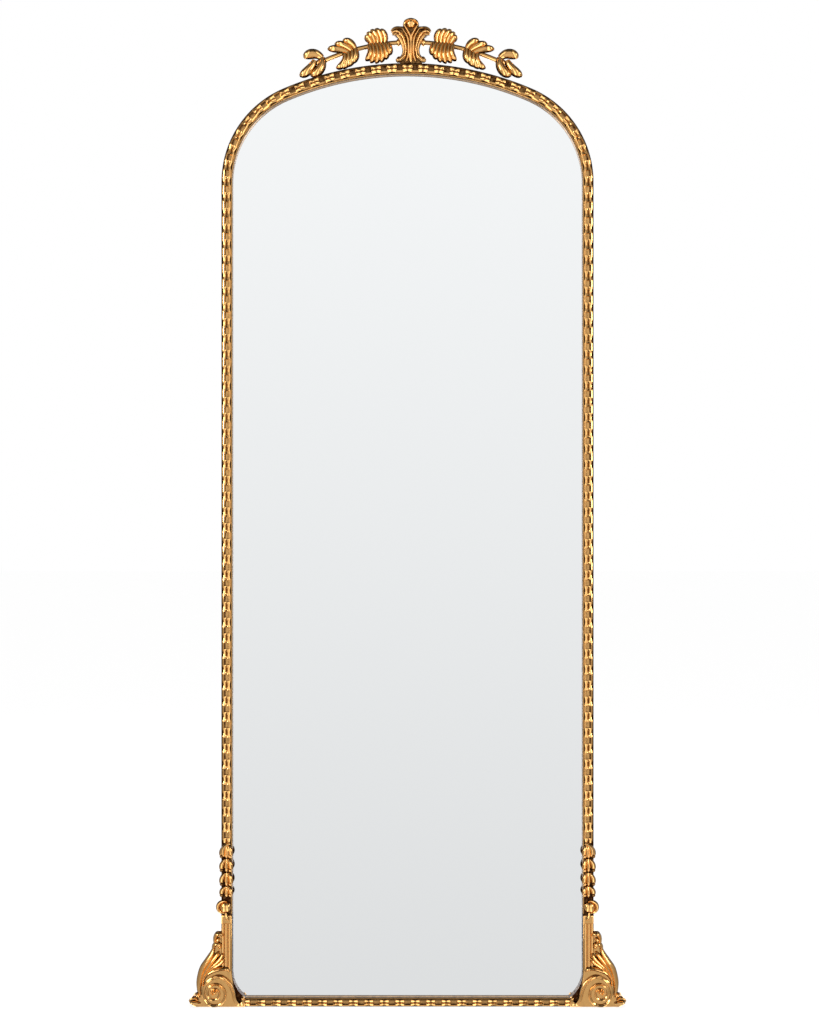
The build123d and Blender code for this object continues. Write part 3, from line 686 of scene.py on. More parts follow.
def link_patina_and_shade(spot, pitch, belly, relief, pocket_depth, antiquing_and_shade):
    """Antiquing and painted shade at a point of a link: full at its foot and in its grooves, and less in
    its pocket.
    """
    along = abs(spot.x / pitch - 0.5)
    if spot.z < 0.2 * relief:
        return 1.0
    if along < 0.23 and abs(spot.y) < 0.28 * belly and spot.z < relief - 0.8 * pocket_depth:
        # The pocket's outer half is painted darker: painted shade on one side of the pocket
        return max(antiquing_and_shade, 0.9) if spot.y < -0.1 * MM else antiquing_and_shade
    in_groove = along > 0.24 and abs(spot.y) < 0.1 * MM
    return 1.0 if in_groove else 0.0


def chain_link(sizes, width, pitch, antiquing_and_shade):
    """One link of the chain, with a pocket in its belly and a groove along its waists."""
    scale = width / FULL_WIDTH
    relief = sizes.chain_depth - sizes.trough_depth
    belly = sizes.link_width * scale
    piece = link_solid(sizes, scale, relief, pitch)
    press_pocket(piece, pitch, belly, relief, sizes.pocket_depth)
    groove_waists(piece, pitch, relief)
    bpy.ops.object.shade_smooth_by_angle(angle=math.radians(38))
    shape = (pitch, belly, relief, sizes.pocket_depth)
    set_patina_and_shade(piece, [link_patina_and_shade(vertex.co, *shape, antiquing_and_shade) for vertex in piece.data.vertices])
    return piece


def beaded_moulding(run, sizes, name, antiquing_and_shade, chain_share=1.0):
    """A length of moulding with its chain of links, which covers a share of it."""
    parts = [moulding_body(run, sizes)]
    chain = run.length * chain_share
    count = max(1, round(chain / sizes.link_pitch))
    pitch = chain / count
    link = chain_link(sizes, run.width, pitch, antiquing_and_shade)
    # Each link is sunk a little into the trough, and placed by its middle
    offset = Matrix.Translation((-pitch / 2, run.width / 2, sizes.trough_depth - 0.1 * MM))
    for index in range(count):
        copy = copied(link)
        copy.matrix_world = run.place((index + 0.5) / count * chain_share) @ offset
        parts.append(copy)
    bpy.data.objects.remove(link)
    return merged(parts, name)


# Husk drops and rosettes


def stile_axis():
    return (stile_low[0] + stile_high[0]) / 2


def husk_drop(sizes, name):
    """A string of four husks: two flared petals and a rib each, the top one folded over."""
    x = stile_axis()
    base = sizes.lip_depth - 0.3 * MM
    count = 4
    pitch = (HUSK_TOP - HUSK_FOOT) / count
    parts = []
    for index in range(count):
        head = HUSK_TOP - 5 * MM - index * pitch
        tip = max(head - 0.95 * pitch, HUSK_FOOT + 1 * MM)
        lift = base + (count - index) * 0.3 * MM
        # The outer petal flares farther, and its curled tip is painted dark: antiquing with painted shade
        # on the outer side
        for side, reach, patina_and_shade in ((-1, 8.6 * MM, 0.8), (1, 6 * MM, 0.0)):
            start, end = (x + side * 1.5 * MM, head), (x + side * reach, tip + 3 * MM)
            petal = bowed(start, end, side * -3 * MM, 10)
            parts.append(swept(petal, FINGER, 9.5 * MM, 5.4 * MM, lift, plump))
            curl = (x + side * (reach + 0.4 * MM), tip + 4.5 * MM)
            parts.append(dome(*curl, lift + 3.5 * MM, 3 * MM, 3.6 * MM, patina_and_shade))
        rib = bowed((x, head + 1 * MM), (x, tip), 0, 10)
        parts.append(swept(rib, FINGER, 8.5 * MM, 6.8 * MM, lift, plump))
    # The folded leaf over the first husk bulges outwards
    fold = bowed((x + 6 * MM, HUSK_TOP - 1 * MM), (x - 3 * MM, HUSK_TOP - 25 * MM), 7 * MM, 12)
    parts.append(swept(fold, FINGER, 10 * MM, 8.5 * MM, base + 1 * MM, plump))
    inner = bowed((x + 4 * MM, HUSK_TOP - 6 * MM), (x + 5 * MM, HUSK_TOP - 26 * MM), 2 * MM, 12)
    parts.append(swept(inner, FINGER, 8 * MM, 7.5 * MM, base + 1 * MM, plump))
    return merged(parts, name)


def rosette(sizes, ornament, name):
    """A round button in a crescent that lies on its outer side, with a drop below it."""
    x, z = stile_axis() - 2.2 * MM, 174 * MM
    base = sizes.lip_depth
    button = ornament.button_radius
    crescent_radius = 1.12 * button
    # The broad dome behind the button is painted dark: antiquing with painted shade behind the button
    parts = [dome(x - 2 * MM, z, base - 0.5 * MM, button + 1.5 * MM, 3 * MM, 0.9)]
    turns = [math.radians(62 + 215 * step / 24) for step in range(25)]
    crescent = [
        (x - 2.6 * MM + crescent_radius * math.cos(t), z + crescent_radius * math.sin(t)) for t in turns
    ]
    parts.append(swept(crescent, FINGER, 7.5 * MM, 5.5 * MM, base - 0.3 * MM, swelling(0.3)))
    parts.append(dome(x, z, base + 1.5 * MM, button, 6 * MM))
    foot = z - button
    drop = bowed((x + 1 * MM, foot), (x + 6 * MM, foot - 13 * MM), 1.5 * MM, 8)
    parts.append(swept(drop, FINGER, 7 * MM, 5 * MM, base + 2.5 * MM, plump))
    return merged(parts, name)


# Corner scrolls


def corner(outward, height):
    """A point of the front view, in millimetres outwards from the left stile's edge and upwards."""
    return (stile_low[0] - outward * MM, height * MM)


def corner_outline():
    """Front outline of the corner casting: lobes, volute back, toe, hook and stem."""
    crook, elbow, shoulder = corner(12.0, 110.5), corner(16.8, 89.5), corner(31.5, 68.5)
    heel, curl, toe, sole = corner(39.5, 25.5), corner(47.0, 17.5), corner(57.0, 10.5), corner(38.0, 0)
    hook_end, hook_base, inner_bend = corner(-39.0, 14.0), corner(-24.0, 14.0), corner(-18.4, 60.0)
    points = [corner(0, 131.5)]
    points += arc(points[-1], corner(10.5, 124.0), crook, 8)
    points += arc(crook, corner(15.6, 101.0), elbow, 4)
    points += arc(elbow, corner(22.5, 78.0), shoulder, 5)
    points += arc(shoulder, corner(39.5, 47.0), heel, 8)
    points += arc(heel, corner(42.0, 21.0), curl, 5)
    points += arc(curl, corner(53.5, 15.5), toe, 5)
    points += arc(toe, corner(50.0, 2.5), sole, 8)
    points += [corner(-42, 0), corner(-42, 14), hook_end]
    points += arc(hook_end, corner(-32.0, 7.0), hook_base, 8)
    points += arc(hook_base, corner(-21.3, 36.0), inner_bend, 8)
    points += [corner(-18.4, 160), corner(0, 160)]
    return points


def volute_path():
    """From the small curl at the hook's end over the top of the volute and twice round to its eye."""
    return flowing(corners(
        (-38.8, 14.5), (-38.4, 9.0), (-34.5, 5.2), (-29.5, 6.2), (-24.2, 14.2), (-21.1, 26.8),
        (-15.9, 39.3), (-7.5, 48.7), (2.9, 53.5), (14.4, 51.0), (24.8, 43.0), (30.4, 29.5), (28.6, 14.8),
        (19.5, 4.6), (7.5, 3.2), (-2.2, 8.4), (-6.8, 18.8), (-4.8, 30.5), (3.4, 38.6), (13.3, 39.6),
        (21.4, 34.4), (24.2, 25.0), (20.5, 16.0), (11.8, 12.8), (4.6, 17.4), (3.6, 25.4), (8.4, 31.2),
        (14.8, 30.6), (17.6, 25.2), (14.0, 21.4),
    ), 4)


def corners(*spots):
    return [corner(*spot) for spot in spots]


# Acanthus leaves along their ridges, with width and relief in millimetres; they end at their curled tips
ACANTHUS = [
    ([(37.2, 21), (38.4, 32), (38.2, 47), (33.0, 67), (24.0, 81), (15.6, 94.6), (12.2, 105)], 11, 8.0),
    ([(13.4, 98), (12.4, 107), (7.5, 111.5), (2.2, 108.0), (3.6, 102)], 9, 8.4),
    ([(11.0, 112), (10.6, 121), (6.5, 128.5), (0.0, 128.5), (-4.0, 124)], 8.5, 8.5),
    ([(8.5, 108), (7.0, 116), (2.0, 121.5)], 8, 6.0),
    ([(32.4, 38), (31.0, 54), (25.4, 67), (17.0, 80), (8.0, 91), (2.4, 98)], 9.5, 8.5),
    ([(27.4, 55), (19.6, 68), (9.2, 77.5), (0.4, 87), (-3.6, 96)], 9, 8.5),
    ([(21.0, 62), (11.3, 70.6), (0.8, 77.5), (-6.5, 87.3)], 8, 7.5),
    ([(32, 46), (27, 54.5), (21, 60.5), (11.3, 65.2), (-1.3, 68.2), (-11.5, 66.6), (-16, 62)], 8.5, 8.4),
    ([(38.0, 17), (41.0, 23.0), (45.0, 21.0)], 7, 7.5),
    ([(40.0, 12), (46.6, 16.5), (50.5, 14.5)], 7, 7.5),
    ([(36.0, 6), (48.0, 8.5), (55.0, 8.0)], 9, 7.0),
]


def corner_scroll(sizes, name):
    """The corner casting: plates with a rebate behind, volute, hook, acanthus and a reeded stem."""
    face = 29 * MM
    # The main plate is painted a little dark: antiquing with painted shade
    parts = [plate(corner_outline(), 2 * MM, face, 2.2 * MM, 0.15)]
    rim = corners((0, 162), (-2.5, 162), (-2.5, 2.5), (-42, 2.5), (-42, 0), (0, 0))
    parts.append(plate(rim, 0, 12 * MM, 0))
    ledge = corners((0, 162), (-10, 162), (-10, 10), (-42, 10), (-42, 0), (0, 0))
    parts.append(plate(ledge, 11.9 * MM, 17 * MM, 0))
    inner = corners((0, 162), (-19, 162), (-19, 62))
    inner += arc(inner[-1], corner(-26, 33), corner(-42, 15), 10) + corners((-42, 0), (0, 0))
    # The inner plate, sunk behind the hook and the stem, is painted dark all over: antiquing with painted
    # shade in the recess
    parts.append(plate(inner, 17 * MM, 26 * MM, 0.8 * MM, 1.0))
    base = face - 0.6 * MM
    parts.append(swept(volute_path(), RIBBON, sizes.ribbon_width, 6.8 * MM, base, ribbon_taper))
    eye, hook_tip = corner(11.4, 25.6), corner(-37.6, 15.0)
    parts.append(dome(*eye, base, 3.6 * MM, 6.4 * MM))
    parts.append(dome(*hook_tip, base - 1 * MM, 3.8 * MM, 6 * MM))
    for spots, width, relief in ACANTHUS:
        parts.append(swept(flowing(corners(*spots), 4), FINGER, width * MM, relief * MM, base, plump))
    for reed_x in (-3.0, -8.5, -14.5):
        reed = bowed(corner(reed_x, 66), corner(reed_x, 146), 0, 10)
        parts.append(swept(reed, REED, 5.2 * MM, 2.8 * MM, base))
    return merged(parts, name)


# Crest


def crest(sizes, outward, height):
    """A point of the crest's left half, in millimetres from its middle and from the crown's top."""
    return (sizes.crest_shift - outward * MM, crown_top + height * MM)


def rod_path(sizes, start, end, steps):
    """Points along the bent rod between two distances to the left of its middle, in millimetres."""
    points = []
    for step in range(steps + 1):
        outward = (start + (end - start) * step / steps) * MM
        drop = sizes.rod_arc - math.sqrt(sizes.rod_arc ** 2 - outward ** 2)
        points.append((sizes.crest_shift - outward, crown_top + sizes.rod_rise - drop))
    return points


def rod(sizes, name):
    """The bent rod, from end to end."""
    reach = 166
    path = rod_path(sizes, -reach, reach, 60)
    return merged([swept(path, ROUND, 2 * sizes.rod_radius, sizes.rod_radius, sizes.rod_depth)], name)


def fan(sizes, bases, tips, count, bows, width, relief, depth):
    """Leaves whose bases lie on a line and whose tips lie on an arc."""
    parts = []
    steps = 40
    rim = [tips[0]] + arc(*tips, steps)
    for index in range(count):
        share = index / (count - 1) if count > 1 else 0.5
        start = [a + (b - a) * share for a, b in zip(*bases)]
        end = rim[round(share * steps)]
        bow = bows[0] + (bows[1] - bows[0]) * share
        path = bowed(crest(sizes, *start), crest(sizes, *end), bow * MM, 11)
        parts.append(swept(path, FINGER, width * MM, relief * MM, depth, plump))
    return parts


# Leaf clusters: where each hugs the rod, then its fans with bases, tips, count, bows, width and relief
CLUSTERS = {
    "inner": (
        (40, 76),
        [
            (((46, 36), (70, 34)), ((55, 59), (72, 58), (82, 46)), 5, (4.5, 3.0), 12.5, 9.5),
            (((45, 38), (74, 34)), ((38, 14), (58, 0), (80, 5)), 6, (-3.5, -6.5), 12.5, 9.5),
        ],
    ),
    "middle": (
        (94, 116),
        [
            (((98, 25), (110, 19)), ((120, 39), (133, 34), (146, 25)), 3, (5.0, 3.0), 13.5, 8.0),
            (((98, 26), (116, 17)), ((105, 1), (118, -7), (131, -8)), 4, (-5.0, -7.0), 13.0, 8.0),
        ],
    ),
    "outer": (
        (149, 166),
        [
            (((154, 11), (158, 8)), ((184, 12), (187, 9), (188, 5)), 1, (7.5, 7.5), 18.0, 9.0),
            (((156, 10), (168, 5)), ((176, -21), (186, -23), (195, -22)), 2, (-8.5, -4.0), 17.0, 9.0),
        ],
    ),
}


def leaf_cluster(sizes, plan, name):
    """Leaves that fan out from a sleeve on the rod."""
    (start, end), fans = plan
    sleeve = rod_path(sizes, start, end, 8)
    parts = [swept(sleeve, ROUND, 13 * MM, 6 * MM, sizes.rod_depth + 0.5 * MM, swelling(0.75))]
    depth = sizes.rod_depth + sizes.rod_radius + 0.5 * MM
    for spread in fans:
        parts += fan(sizes, *spread, depth)
    return merged(parts, name)


def palmette_outline(sizes):
    """Front outline of the palmette, from its left foot round to its right."""
    half = [(0, -1), (18, -1), (25.2, 9.0)]
    half += arc((25.2, 9.0), (23.0, 12.4), (19.0, 12.6), 4)
    half += arc((19.0, 12.6), (13.0, 27.0), (18.9, 45.2), 10)
    half += arc((18.9, 45.2), (27.5, 49.0), (34.0, 56.0), 6)
    half += arc((34.0, 56.0), (25.5, 63.6), (12.5, 65.0), 8)
    half += arc((12.5, 65.0), (10.2, 75.5), (0, 79.2), 8)
    left = [crest(sizes, outward, height) for outward, height in half]
    right = [crest(sizes, -outward, height) for outward, height in reversed(half[1:-1])]
    return left + right


# Reeds and wings of the palmette's left half as outward distance and height, with width and relief
PALMETTE_REEDS = [
    ([(33.2, 52.6), (30, 55.4), (26.2, 56.4), (20, 53.4), (13.9, 44.7), (9.9, 33.1), (9, 22.9),
      (11.2, 13.4)], 5.2, 7.0),
    ([(33, 50.8), (28, 51.8), (23, 49.2), (17.6, 42), (13.6, 32), (12.4, 22.9), (14.6, 14.4)], 4.2, 5.2),
    ([(9.4, 17), (11.2, 13.4), (16.7, 7.9), (22.5, 5.0), (24.2, 8.4)], 6.0, 6.5),
    ([(13.6, 58.9), (7.6, 48.7), (4.6, 37.8), (4.2, 24), (4.9, 13), (8.2, 3.5)], 4.4, 6.6),
    ([(12.6, 68.8), (10.6, 64.5), (6.6, 58.0), (2.4, 50.1), (1.1, 45.0), (0.8, 38.0)], 4.4, 8.4),
]
PALMETTE_WING = ([(34.4, 55.4), (31.2, 59.2), (25.5, 61.6), (18.0, 61.6), (13.0, 59.0)], 6.5, 5.5)


def palmette(sizes, name):
    """The palmette: plate, flared reeds, curled wings and a knob under an arched rim."""
    back, face = 12 * MM, 23 * MM
    base = face - 0.6 * MM
    swell = swelling(0.55)
    # The plate behind the reeds is painted dark: antiquing with painted shade between the reeds
    parts = [plate(palmette_outline(sizes), back, face, 1.8 * MM, 0.9)]

    def path_of(spots, side=1, steps=4):
        return flowing([crest(sizes, side * outward, height) for outward, height in spots], steps)

    middle = path_of([(0, height) for height in (46, 30, 12, 2)])
    parts.append(swept(middle, FINGER, 9 * MM, 4.6 * MM, base, swell))
    parts.append(swept(middle, REED, 3.2 * MM, 2.2 * MM, base + 4.2 * MM, swell))
    knob_rim = path_of([(12.2, 67), (9.2, 73.2), (0, 76.2), (-9.2, 73.2), (-12.2, 67)], steps=5)
    parts.append(swept(knob_rim, FINGER, 7 * MM, 8 * MM, base, swelling(0.6)))
    parts.append(dome(*crest(sizes, 0, 70.5), base, 9 * MM, 7.5 * MM))
    for side in (1, -1):
        # Each reed has a broad foot and a narrow bead along its ridge
        for spots, width, relief in PALMETTE_REEDS:
            path = path_of(spots, side)
            parts.append(swept(path, FINGER, (width + 2.6) * MM, 0.6 * relief * MM, base, swell))
            parts.append(swept(path, REED, 0.75 * width * MM, 2.2 * MM, base + 0.5 * relief * MM, swell))
        spots, width, relief = PALMETTE_WING
        parts.append(swept(path_of(spots, side), WING, width * MM, relief * MM, base, swell))
        collar = rod_path(sizes, side * 19, side * 25, 4)
        parts.append(swept(collar, ROUND, 13 * MM, 6.5 * MM, sizes.rod_depth, swelling(0.75)))
    return merged(parts, name)


# Hangers, screws and bumpers


def pan_screw(reach, name):
    """A pan-head screw that points forwards, with a cross recess in its head."""
    head_height, slot, span = 2.2 * MM, 0.8 * MM, 3.4 * MM
    head = settle(drum((0, head_height / 2, 0), "X", 3.5 * MM, head_height, 24))
    soften(head, 0.9 * MM)
    for width, height in ((span, slot), (slot, span)):
        deselect()
        bpy.ops.mesh.primitive_cube_add(size=1, location=(0, head_height, 0))
        cutter = bpy.context.object
        cutter.scale = (width, 1.6 * MM, height)
        cut_out(head, cutter)
    shank = settle(drum((0, -reach / 2, 0), "X", 1.45 * MM, reach, 12))
    return merged([head, shank], name)


def screws_like(node, reach, name):
    """A pan-head screw in the place of each screw of a CAD node."""
    master = pan_screw(reach, "screw_master")
    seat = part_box(node)[1][1] - 2.2 * MM
    parts = []
    for x, z in shell_centres(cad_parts[node]):
        copy = copied(master)
        copy.location = (x, seat, z)
        parts.append(copy)
    bpy.data.objects.remove(master)
    return merged(parts, name)


def shell_centres(node):
    """Centres, in the front view, of a node's separate solids."""
    take(node)
    bpy.ops.object.duplicate()
    copy = bpy.context.object
    bpy.ops.object.mode_set(mode="EDIT")
    bpy.ops.mesh.select_all(action="SELECT")
    bpy.ops.mesh.remove_doubles(threshold=0.01 * MM)
    bpy.ops.mesh.separate(type="LOOSE")
    bpy.ops.object.mode_set(mode="OBJECT")
    pieces = list(bpy.context.selected_objects)
    if copy not in pieces:
        pieces.append(copy)
    centres = []
    for piece in pieces:
        xs = [v.co.x for v in piece.data.vertices]
        zs = [v.co.z for v in piece.data.vertices]
        centres.append(((min(xs) + max(xs)) / 2, (min(zs) + max(zs)) / 2))
        bpy.data.objects.remove(piece)
    return centres


def hanger_ring(name):
    """A bent steel D-ring: a straight bar at the top and a round bow below."""
    wire = (ring_high[1] - ring_low[1]) / 2
    x, y = (ring_low[0] + ring_high[0]) / 2, (ring_low[1] + ring_high[1]) / 2
    half = (ring_high[0] - ring_low[0]) / 2 - wire
    top = ring_high[2] - wire
    drop = top - ring_low[2] - wire
    turns = [math.pi * step / 24 for step in range(25)]
    path = [(x + half * math.cos(t), top - drop * math.sin(t)) for t in turns]
    path += [(x - half * 0.5, top), (x + half * 0.5, top)]
    return merged([swept(path, ROUND, 2 * wire, wire, -y, closed=True)], name)


def hanger_strap(name):
    """A stamped strap with a round foot, rolled into a knuckle round the ring."""
    left, right, foot = strap_low[0], strap_high[0], strap_low[2]
    axis_y = (ring_low[1] + ring_high[1]) / 2
    axis_z = ring_high[2] - (ring_high[1] - ring_low[1]) / 2
    sheet, radius, knuckle_radius, bore_radius = 1 * MM, 5 * MM, 2.7 * MM, 1.7 * MM
    head = axis_z - 2 * MM
    # How far the middle of a rounded corner lies from both of its sides
    ease = 0.293 * radius
    points = [(left, head), (left, foot + radius)]
    points += arc(points[-1], (left + ease, foot + ease), (left + radius, foot), 5)
    points += [(right - radius, foot)]
    points += arc(points[-1], (right - ease, foot + ease), (right, foot + radius), 5)
    points += [(right, head)]
    body = plate(points, board_back - sheet, board_back, 0)
    centre = ((left + right) / 2, axis_y, axis_z)
    knuckle = settle(drum(centre, "Y", knuckle_radius, right - left, 32))
    cut_out(knuckle, drum(centre, "Y", bore_radius, 1.5 * (right - left), 32))
    return merged([body, knuckle], name)


def bumper_pair(name):
    """Two round rubber bumpers with softened rims."""
    parts = []
    radius = (bumper_high[2] - bumper_low[2]) / 2
    height = (bumper_high[2] + bumper_low[2]) / 2
    depth = (bumper_low[1] + bumper_high[1]) / 2
    for x in (bumper_low[0] + radius, bumper_high[0] - radius):
        piece = drum((x, depth, height), "X", radius - 0.2 * MM, bumper_high[1] - bumper_low[1], 40)
        soften(settle(piece), 1 * MM)
        parts.append(piece)
    return merged(parts, name)


# Operators


def scene_sizes(context):
    scene = context.scene
    return scene.mirror_frame_sizes, scene.mirror_ornament_sizes, scene.mirror_finishes


def gild(piece, finishes, node):
    """Gives a casting the gold finish in place of its CAD node."""
    dress(piece, finish(GOLD, gold_plating, finishes), "gold_casting", node)


def gild_pair(left, finishes, node, across=0.0):
    """Mirrors a left casting and gives both the gold finish in place of their CAD nodes."""
    right = twin(left, left.name.replace("left_", "right_"), across)
    gild(left, finishes, f"left_{node}")
    gild(right, finishes, f"right_{node}")


class MIRROR_OT_mouldings(bpy.types.Operator):
    """Models the beaded mouldings of the arch, the stiles and the bottom rail"""

    bl_idname = "mirror.mouldings"
    bl_label = "Beaded mouldings"

    def execute(self, context):
        sizes, _, finishes = scene_sizes(context)
        stretches = runs(sizes)
        # Each run's links are painted with their own amount of antiquing and painted shade: most on the
        # crown, least on the stiles
        gild(beaded_moulding(stretches["crown"], sizes, "crown_beading", 0.9), finishes, "crown_moulding")
        rail = beaded_moulding(stretches["rail"], sizes, "bottom_rail_beading", 0.6)
        gild(rail, finishes, "bottom_rail_moulding")
        # The stile's chain ends where its husk drop begins
        chain_share = (sizes.spring_height - HUSK_TOP) / stretches["stile"].length
        for stretch, share, antiquing_and_shade in (("shoulder", 1.0, 0.55), ("stile", chain_share, 0.25)):
            left = beaded_moulding(stretches[stretch], sizes, f"left_{stretch}_beading", antiquing_and_shade, share)
            gild_pair(left, finishes, f"{stretch}_moulding")
        return {"FINISHED"}


class MIRROR_OT_stile_ornament(bpy.types.Operator):
    """Models the husk drops and rosettes at the foot of the stiles"""

    bl_idname = "mirror.stile_ornament"
    bl_label = "Husk drops and rosettes"

    def execute(self, context):
        sizes, ornament, finishes = scene_sizes(context)
        husks = husk_drop(sizes, "left_husks")
        gild(husks, finishes, "left_husk_drop")
        gild(twin(husks, "right_husks"), finishes, "right_husk_drop")
        button = rosette(sizes, ornament, "left_button_rosette")
        gild(button, finishes, "left_rosette")
        gild(twin(button, "right_button_rosette"), finishes, "right_rosette")
        return {"FINISHED"}

class MIRROR_OT_corner_scrolls(bpy.types.Operator):
    """Models the corner castings with their volutes and acanthus leaves"""

    bl_idname = "mirror.corner_scrolls"
    bl_label = "Corner scrolls"

    def execute(self, context):
        _, ornament, finishes = scene_sizes(context)
        scroll = corner_scroll(ornament, "left_scroll")
        gild(scroll, finishes, "left_corner_scroll")
        gild(twin(scroll, "right_scroll"), finishes, "right_corner_scroll")
        return {"FINISHED"}


class MIRROR_OT_crest(bpy.types.Operator):
    """Models the palmette, the bent rod and the leaf clusters"""

    bl_idname = "mirror.crest"
    bl_label = "Crest"

    def execute(self, context):
        _, ornament, finishes = scene_sizes(context)
        gild(palmette(ornament, "palmette"), finishes, "crest_palmette")
        gild(rod(ornament, "bent_rod"), finishes, "branch_rod")
        for place, plan in CLUSTERS.items():
            spray = leaf_cluster(ornament, plan, f"left_{place}_spray")
            gild_pair(spray, finishes, f"{place}_leaves", ornament.crest_shift)
        return {"FINISHED"}


class MIRROR_OT_glass_and_back(bpy.types.Operator):
    """Finishes the mirror glass, the tape, the board and the crest's pins"""

    bl_idname = "mirror.glass_and_back"
    bl_label = "Glass and back"

    def execute(self, context):
        _, _, finishes = scene_sizes(context)
        for node, material in (
            ("mirror_glass", silvered_glass(finishes)),
            ("spacer_tape", foam_tape(finishes)),
            ("backboard", fibreboard(finishes)),
            ("crest_pins", finish(ZINC, zinc_plating, finishes)),
        ):
            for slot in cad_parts[node].material_slots:
                slot.material = material
        return {"FINISHED"}


class MIRROR_OT_hangers(bpy.types.Operator):
    """Models the hangers, the screws and the wall bumpers on the back"""

    bl_idname = "mirror.hangers"
    bl_label = "Hangers and screws"

    def execute(self, context):
        _, _, finishes = scene_sizes(context)
        steel = finish(ZINC, zinc_plating, finishes)
        for node, reach in (("board_screws", 12.5 * MM), ("hanger_screws", 5.4 * MM)):
            screws = screws_like(node, reach, node.replace("screws", "pan_screws"))
            dress(screws, steel, "zinc_steel", node)
        ring, strap = hanger_ring("left_d_ring"), hanger_strap("left_strap")
        rings = {"left": ring, "right": twin(ring, "right_d_ring")}
        straps = {"left": strap, "right": twin(strap, "right_strap")}
        for side in ("right", "left"):
            node = f"{side}_hanger_ring"
            dress(rings[side], steel, "zinc_steel", node, body=node)
            dress(straps[side], steel, "zinc_steel", f"{side}_hanger_strap")
        dress(bumper_pair("rubber_bumpers"), clear_rubber(finishes), "clear_rubber", "wall_bumpers")
        return {"FINISHED"}


# Stage


# Grey of the studio that gloss sees, from straight down (0) to straight up (1)
STUDIO_HEIGHTS = (
    (0.0, 0.9), (0.22, 1.0), (0.352, 0.77), (0.5, 0.88),
    (0.64, 0.975), (0.71, 0.5), (0.8, 0.2), (1.0, 0.03),
)
# Its grey from straight ahead (0) to straight sideways (1): 0.278 is plain white, 1.0 the bright wall
STUDIO_SIDES = (
    (0.0, 0.278), (0.14, 0.278), (0.18, 0.1), (0.23, 0.1),
    (0.28, 0.9), (0.43, 1.0), (0.49, 0.25), (0.95, 0.14),
)
WALL_GAIN = 3.6


def studio_world():
    """White to the camera; gloss sees a pale studio with a dark ceiling and a bright wall on each side."""
    world = bpy.context.scene.world or bpy.data.worlds.new("studio")
    bpy.context.scene.world = world
    world.use_nodes = True
    tree = world.node_tree
    tree.nodes.clear()
    place = add_node(tree, "ShaderNodeTexCoord")
    split = add_node(tree, "ShaderNodeSeparateXYZ", links={"Vector": place.outputs["Generated"]})
    height = add_node(tree, "ShaderNodeMapRange", {"From Min": -1.0}, {"Value": split.outputs["Z"]})
    aside = add_node(tree, "ShaderNodeMath", {"operation": "ABSOLUTE"}, {0: split.outputs["X"]})
    greys = []
    for source, stops in ((height, STUDIO_HEIGHTS), (aside, STUDIO_SIDES)):
        ramp = add_node(tree, "ShaderNodeValToRGB", links={0: source.outputs[0]})
        elements = ramp.color_ramp.elements
        while len(elements) < len(stops):
            elements.new(0.5)
        for element, (position, level) in zip(elements, stops):
            element.position = position
            element.color = (level, level, level, 1)
        greys.append(ramp.outputs["Color"])
    strength = add_node(tree, "ShaderNodeMath", {"operation": "MULTIPLY", 1: WALL_GAIN}, {0: greys[1]})
    studio = {"Color": greys[0], "Strength": strength.outputs[0]}
    seen = add_node(tree, "ShaderNodeBackground", links=studio)
    soft = add_node(tree, "ShaderNodeBackground", {"Strength": 0.85, "Color": (1, 1, 1, 1)})
    white = add_node(tree, "ShaderNodeBackground", {"Strength": 1.0, "Color": (1, 1, 1, 1)})
    rays = add_node(tree, "ShaderNodeLightPath").outputs
    to_gloss = {0: rays["Is Glossy Ray"], 1: soft.outputs[0], 2: seen.outputs[0]}
    glossy = add_node(tree, "ShaderNodeMixShader", links=to_gloss)
    to_camera = {0: rays["Is Camera Ray"], 1: glossy.outputs[0], 2: white.outputs[0]}
    camera = add_node(tree, "ShaderNodeMixShader", links=to_camera)
    add_node(tree, "ShaderNodeOutputWorld", links={"Surface": camera.outputs[0]})


def floor_finish():
    """Matt white studio floor that melts into the background, with a faint shadow."""
    pale = opaque((0.86, 0.86, 0.86))
    material, tree, shader = new_material("matt white studio floor", Base_Color=pale, Roughness=0.9)
    rays = add_node(tree, "ShaderNodeLightPath").outputs
    # The camera sees mostly a glow as white as the background, so only the shadow shows
    glow = add_node(tree, "ShaderNodeEmission", {"Strength": 1.06})
    amount = add_node(tree, "ShaderNodeMath", {"operation": "MULTIPLY", 1: 0.8}, {0: rays["Is Camera Ray"]})
    lit = {0: amount.outputs[0], 1: shader.outputs[0], 2: glow.outputs[0]}
    mix = add_node(tree, "ShaderNodeMixShader", links=lit)
    # Gloss sees the studio through the floor, so no horizon shows in the pane
    clear = add_node(tree, "ShaderNodeBsdfTransparent")
    to_gloss = {0: rays["Is Glossy Ray"], 1: mix.outputs[0], 2: clear.outputs[0]}
    unseen = add_node(tree, "ShaderNodeMixShader", links=to_gloss)
    tree.links.new(unseen.outputs[0], tree.nodes["Material Output"].inputs["Surface"])
    return material


def softbox(name, place, target, width, height, watts):
    """A rectangular soft light that faces a point."""
    deselect()
    bpy.ops.object.light_add(type="AREA", location=place)
    lamp = bpy.context.object
    lamp.name = name
    lamp.data.shape = "RECTANGLE"
    lamp.data.size = width
    lamp.data.size_y = height
    lamp.data.energy = watts
    aim = Vector(target) - Vector(place)
    lamp.rotation_euler = aim.to_track_quat("-Z", "Y").to_euler()
    return lamp


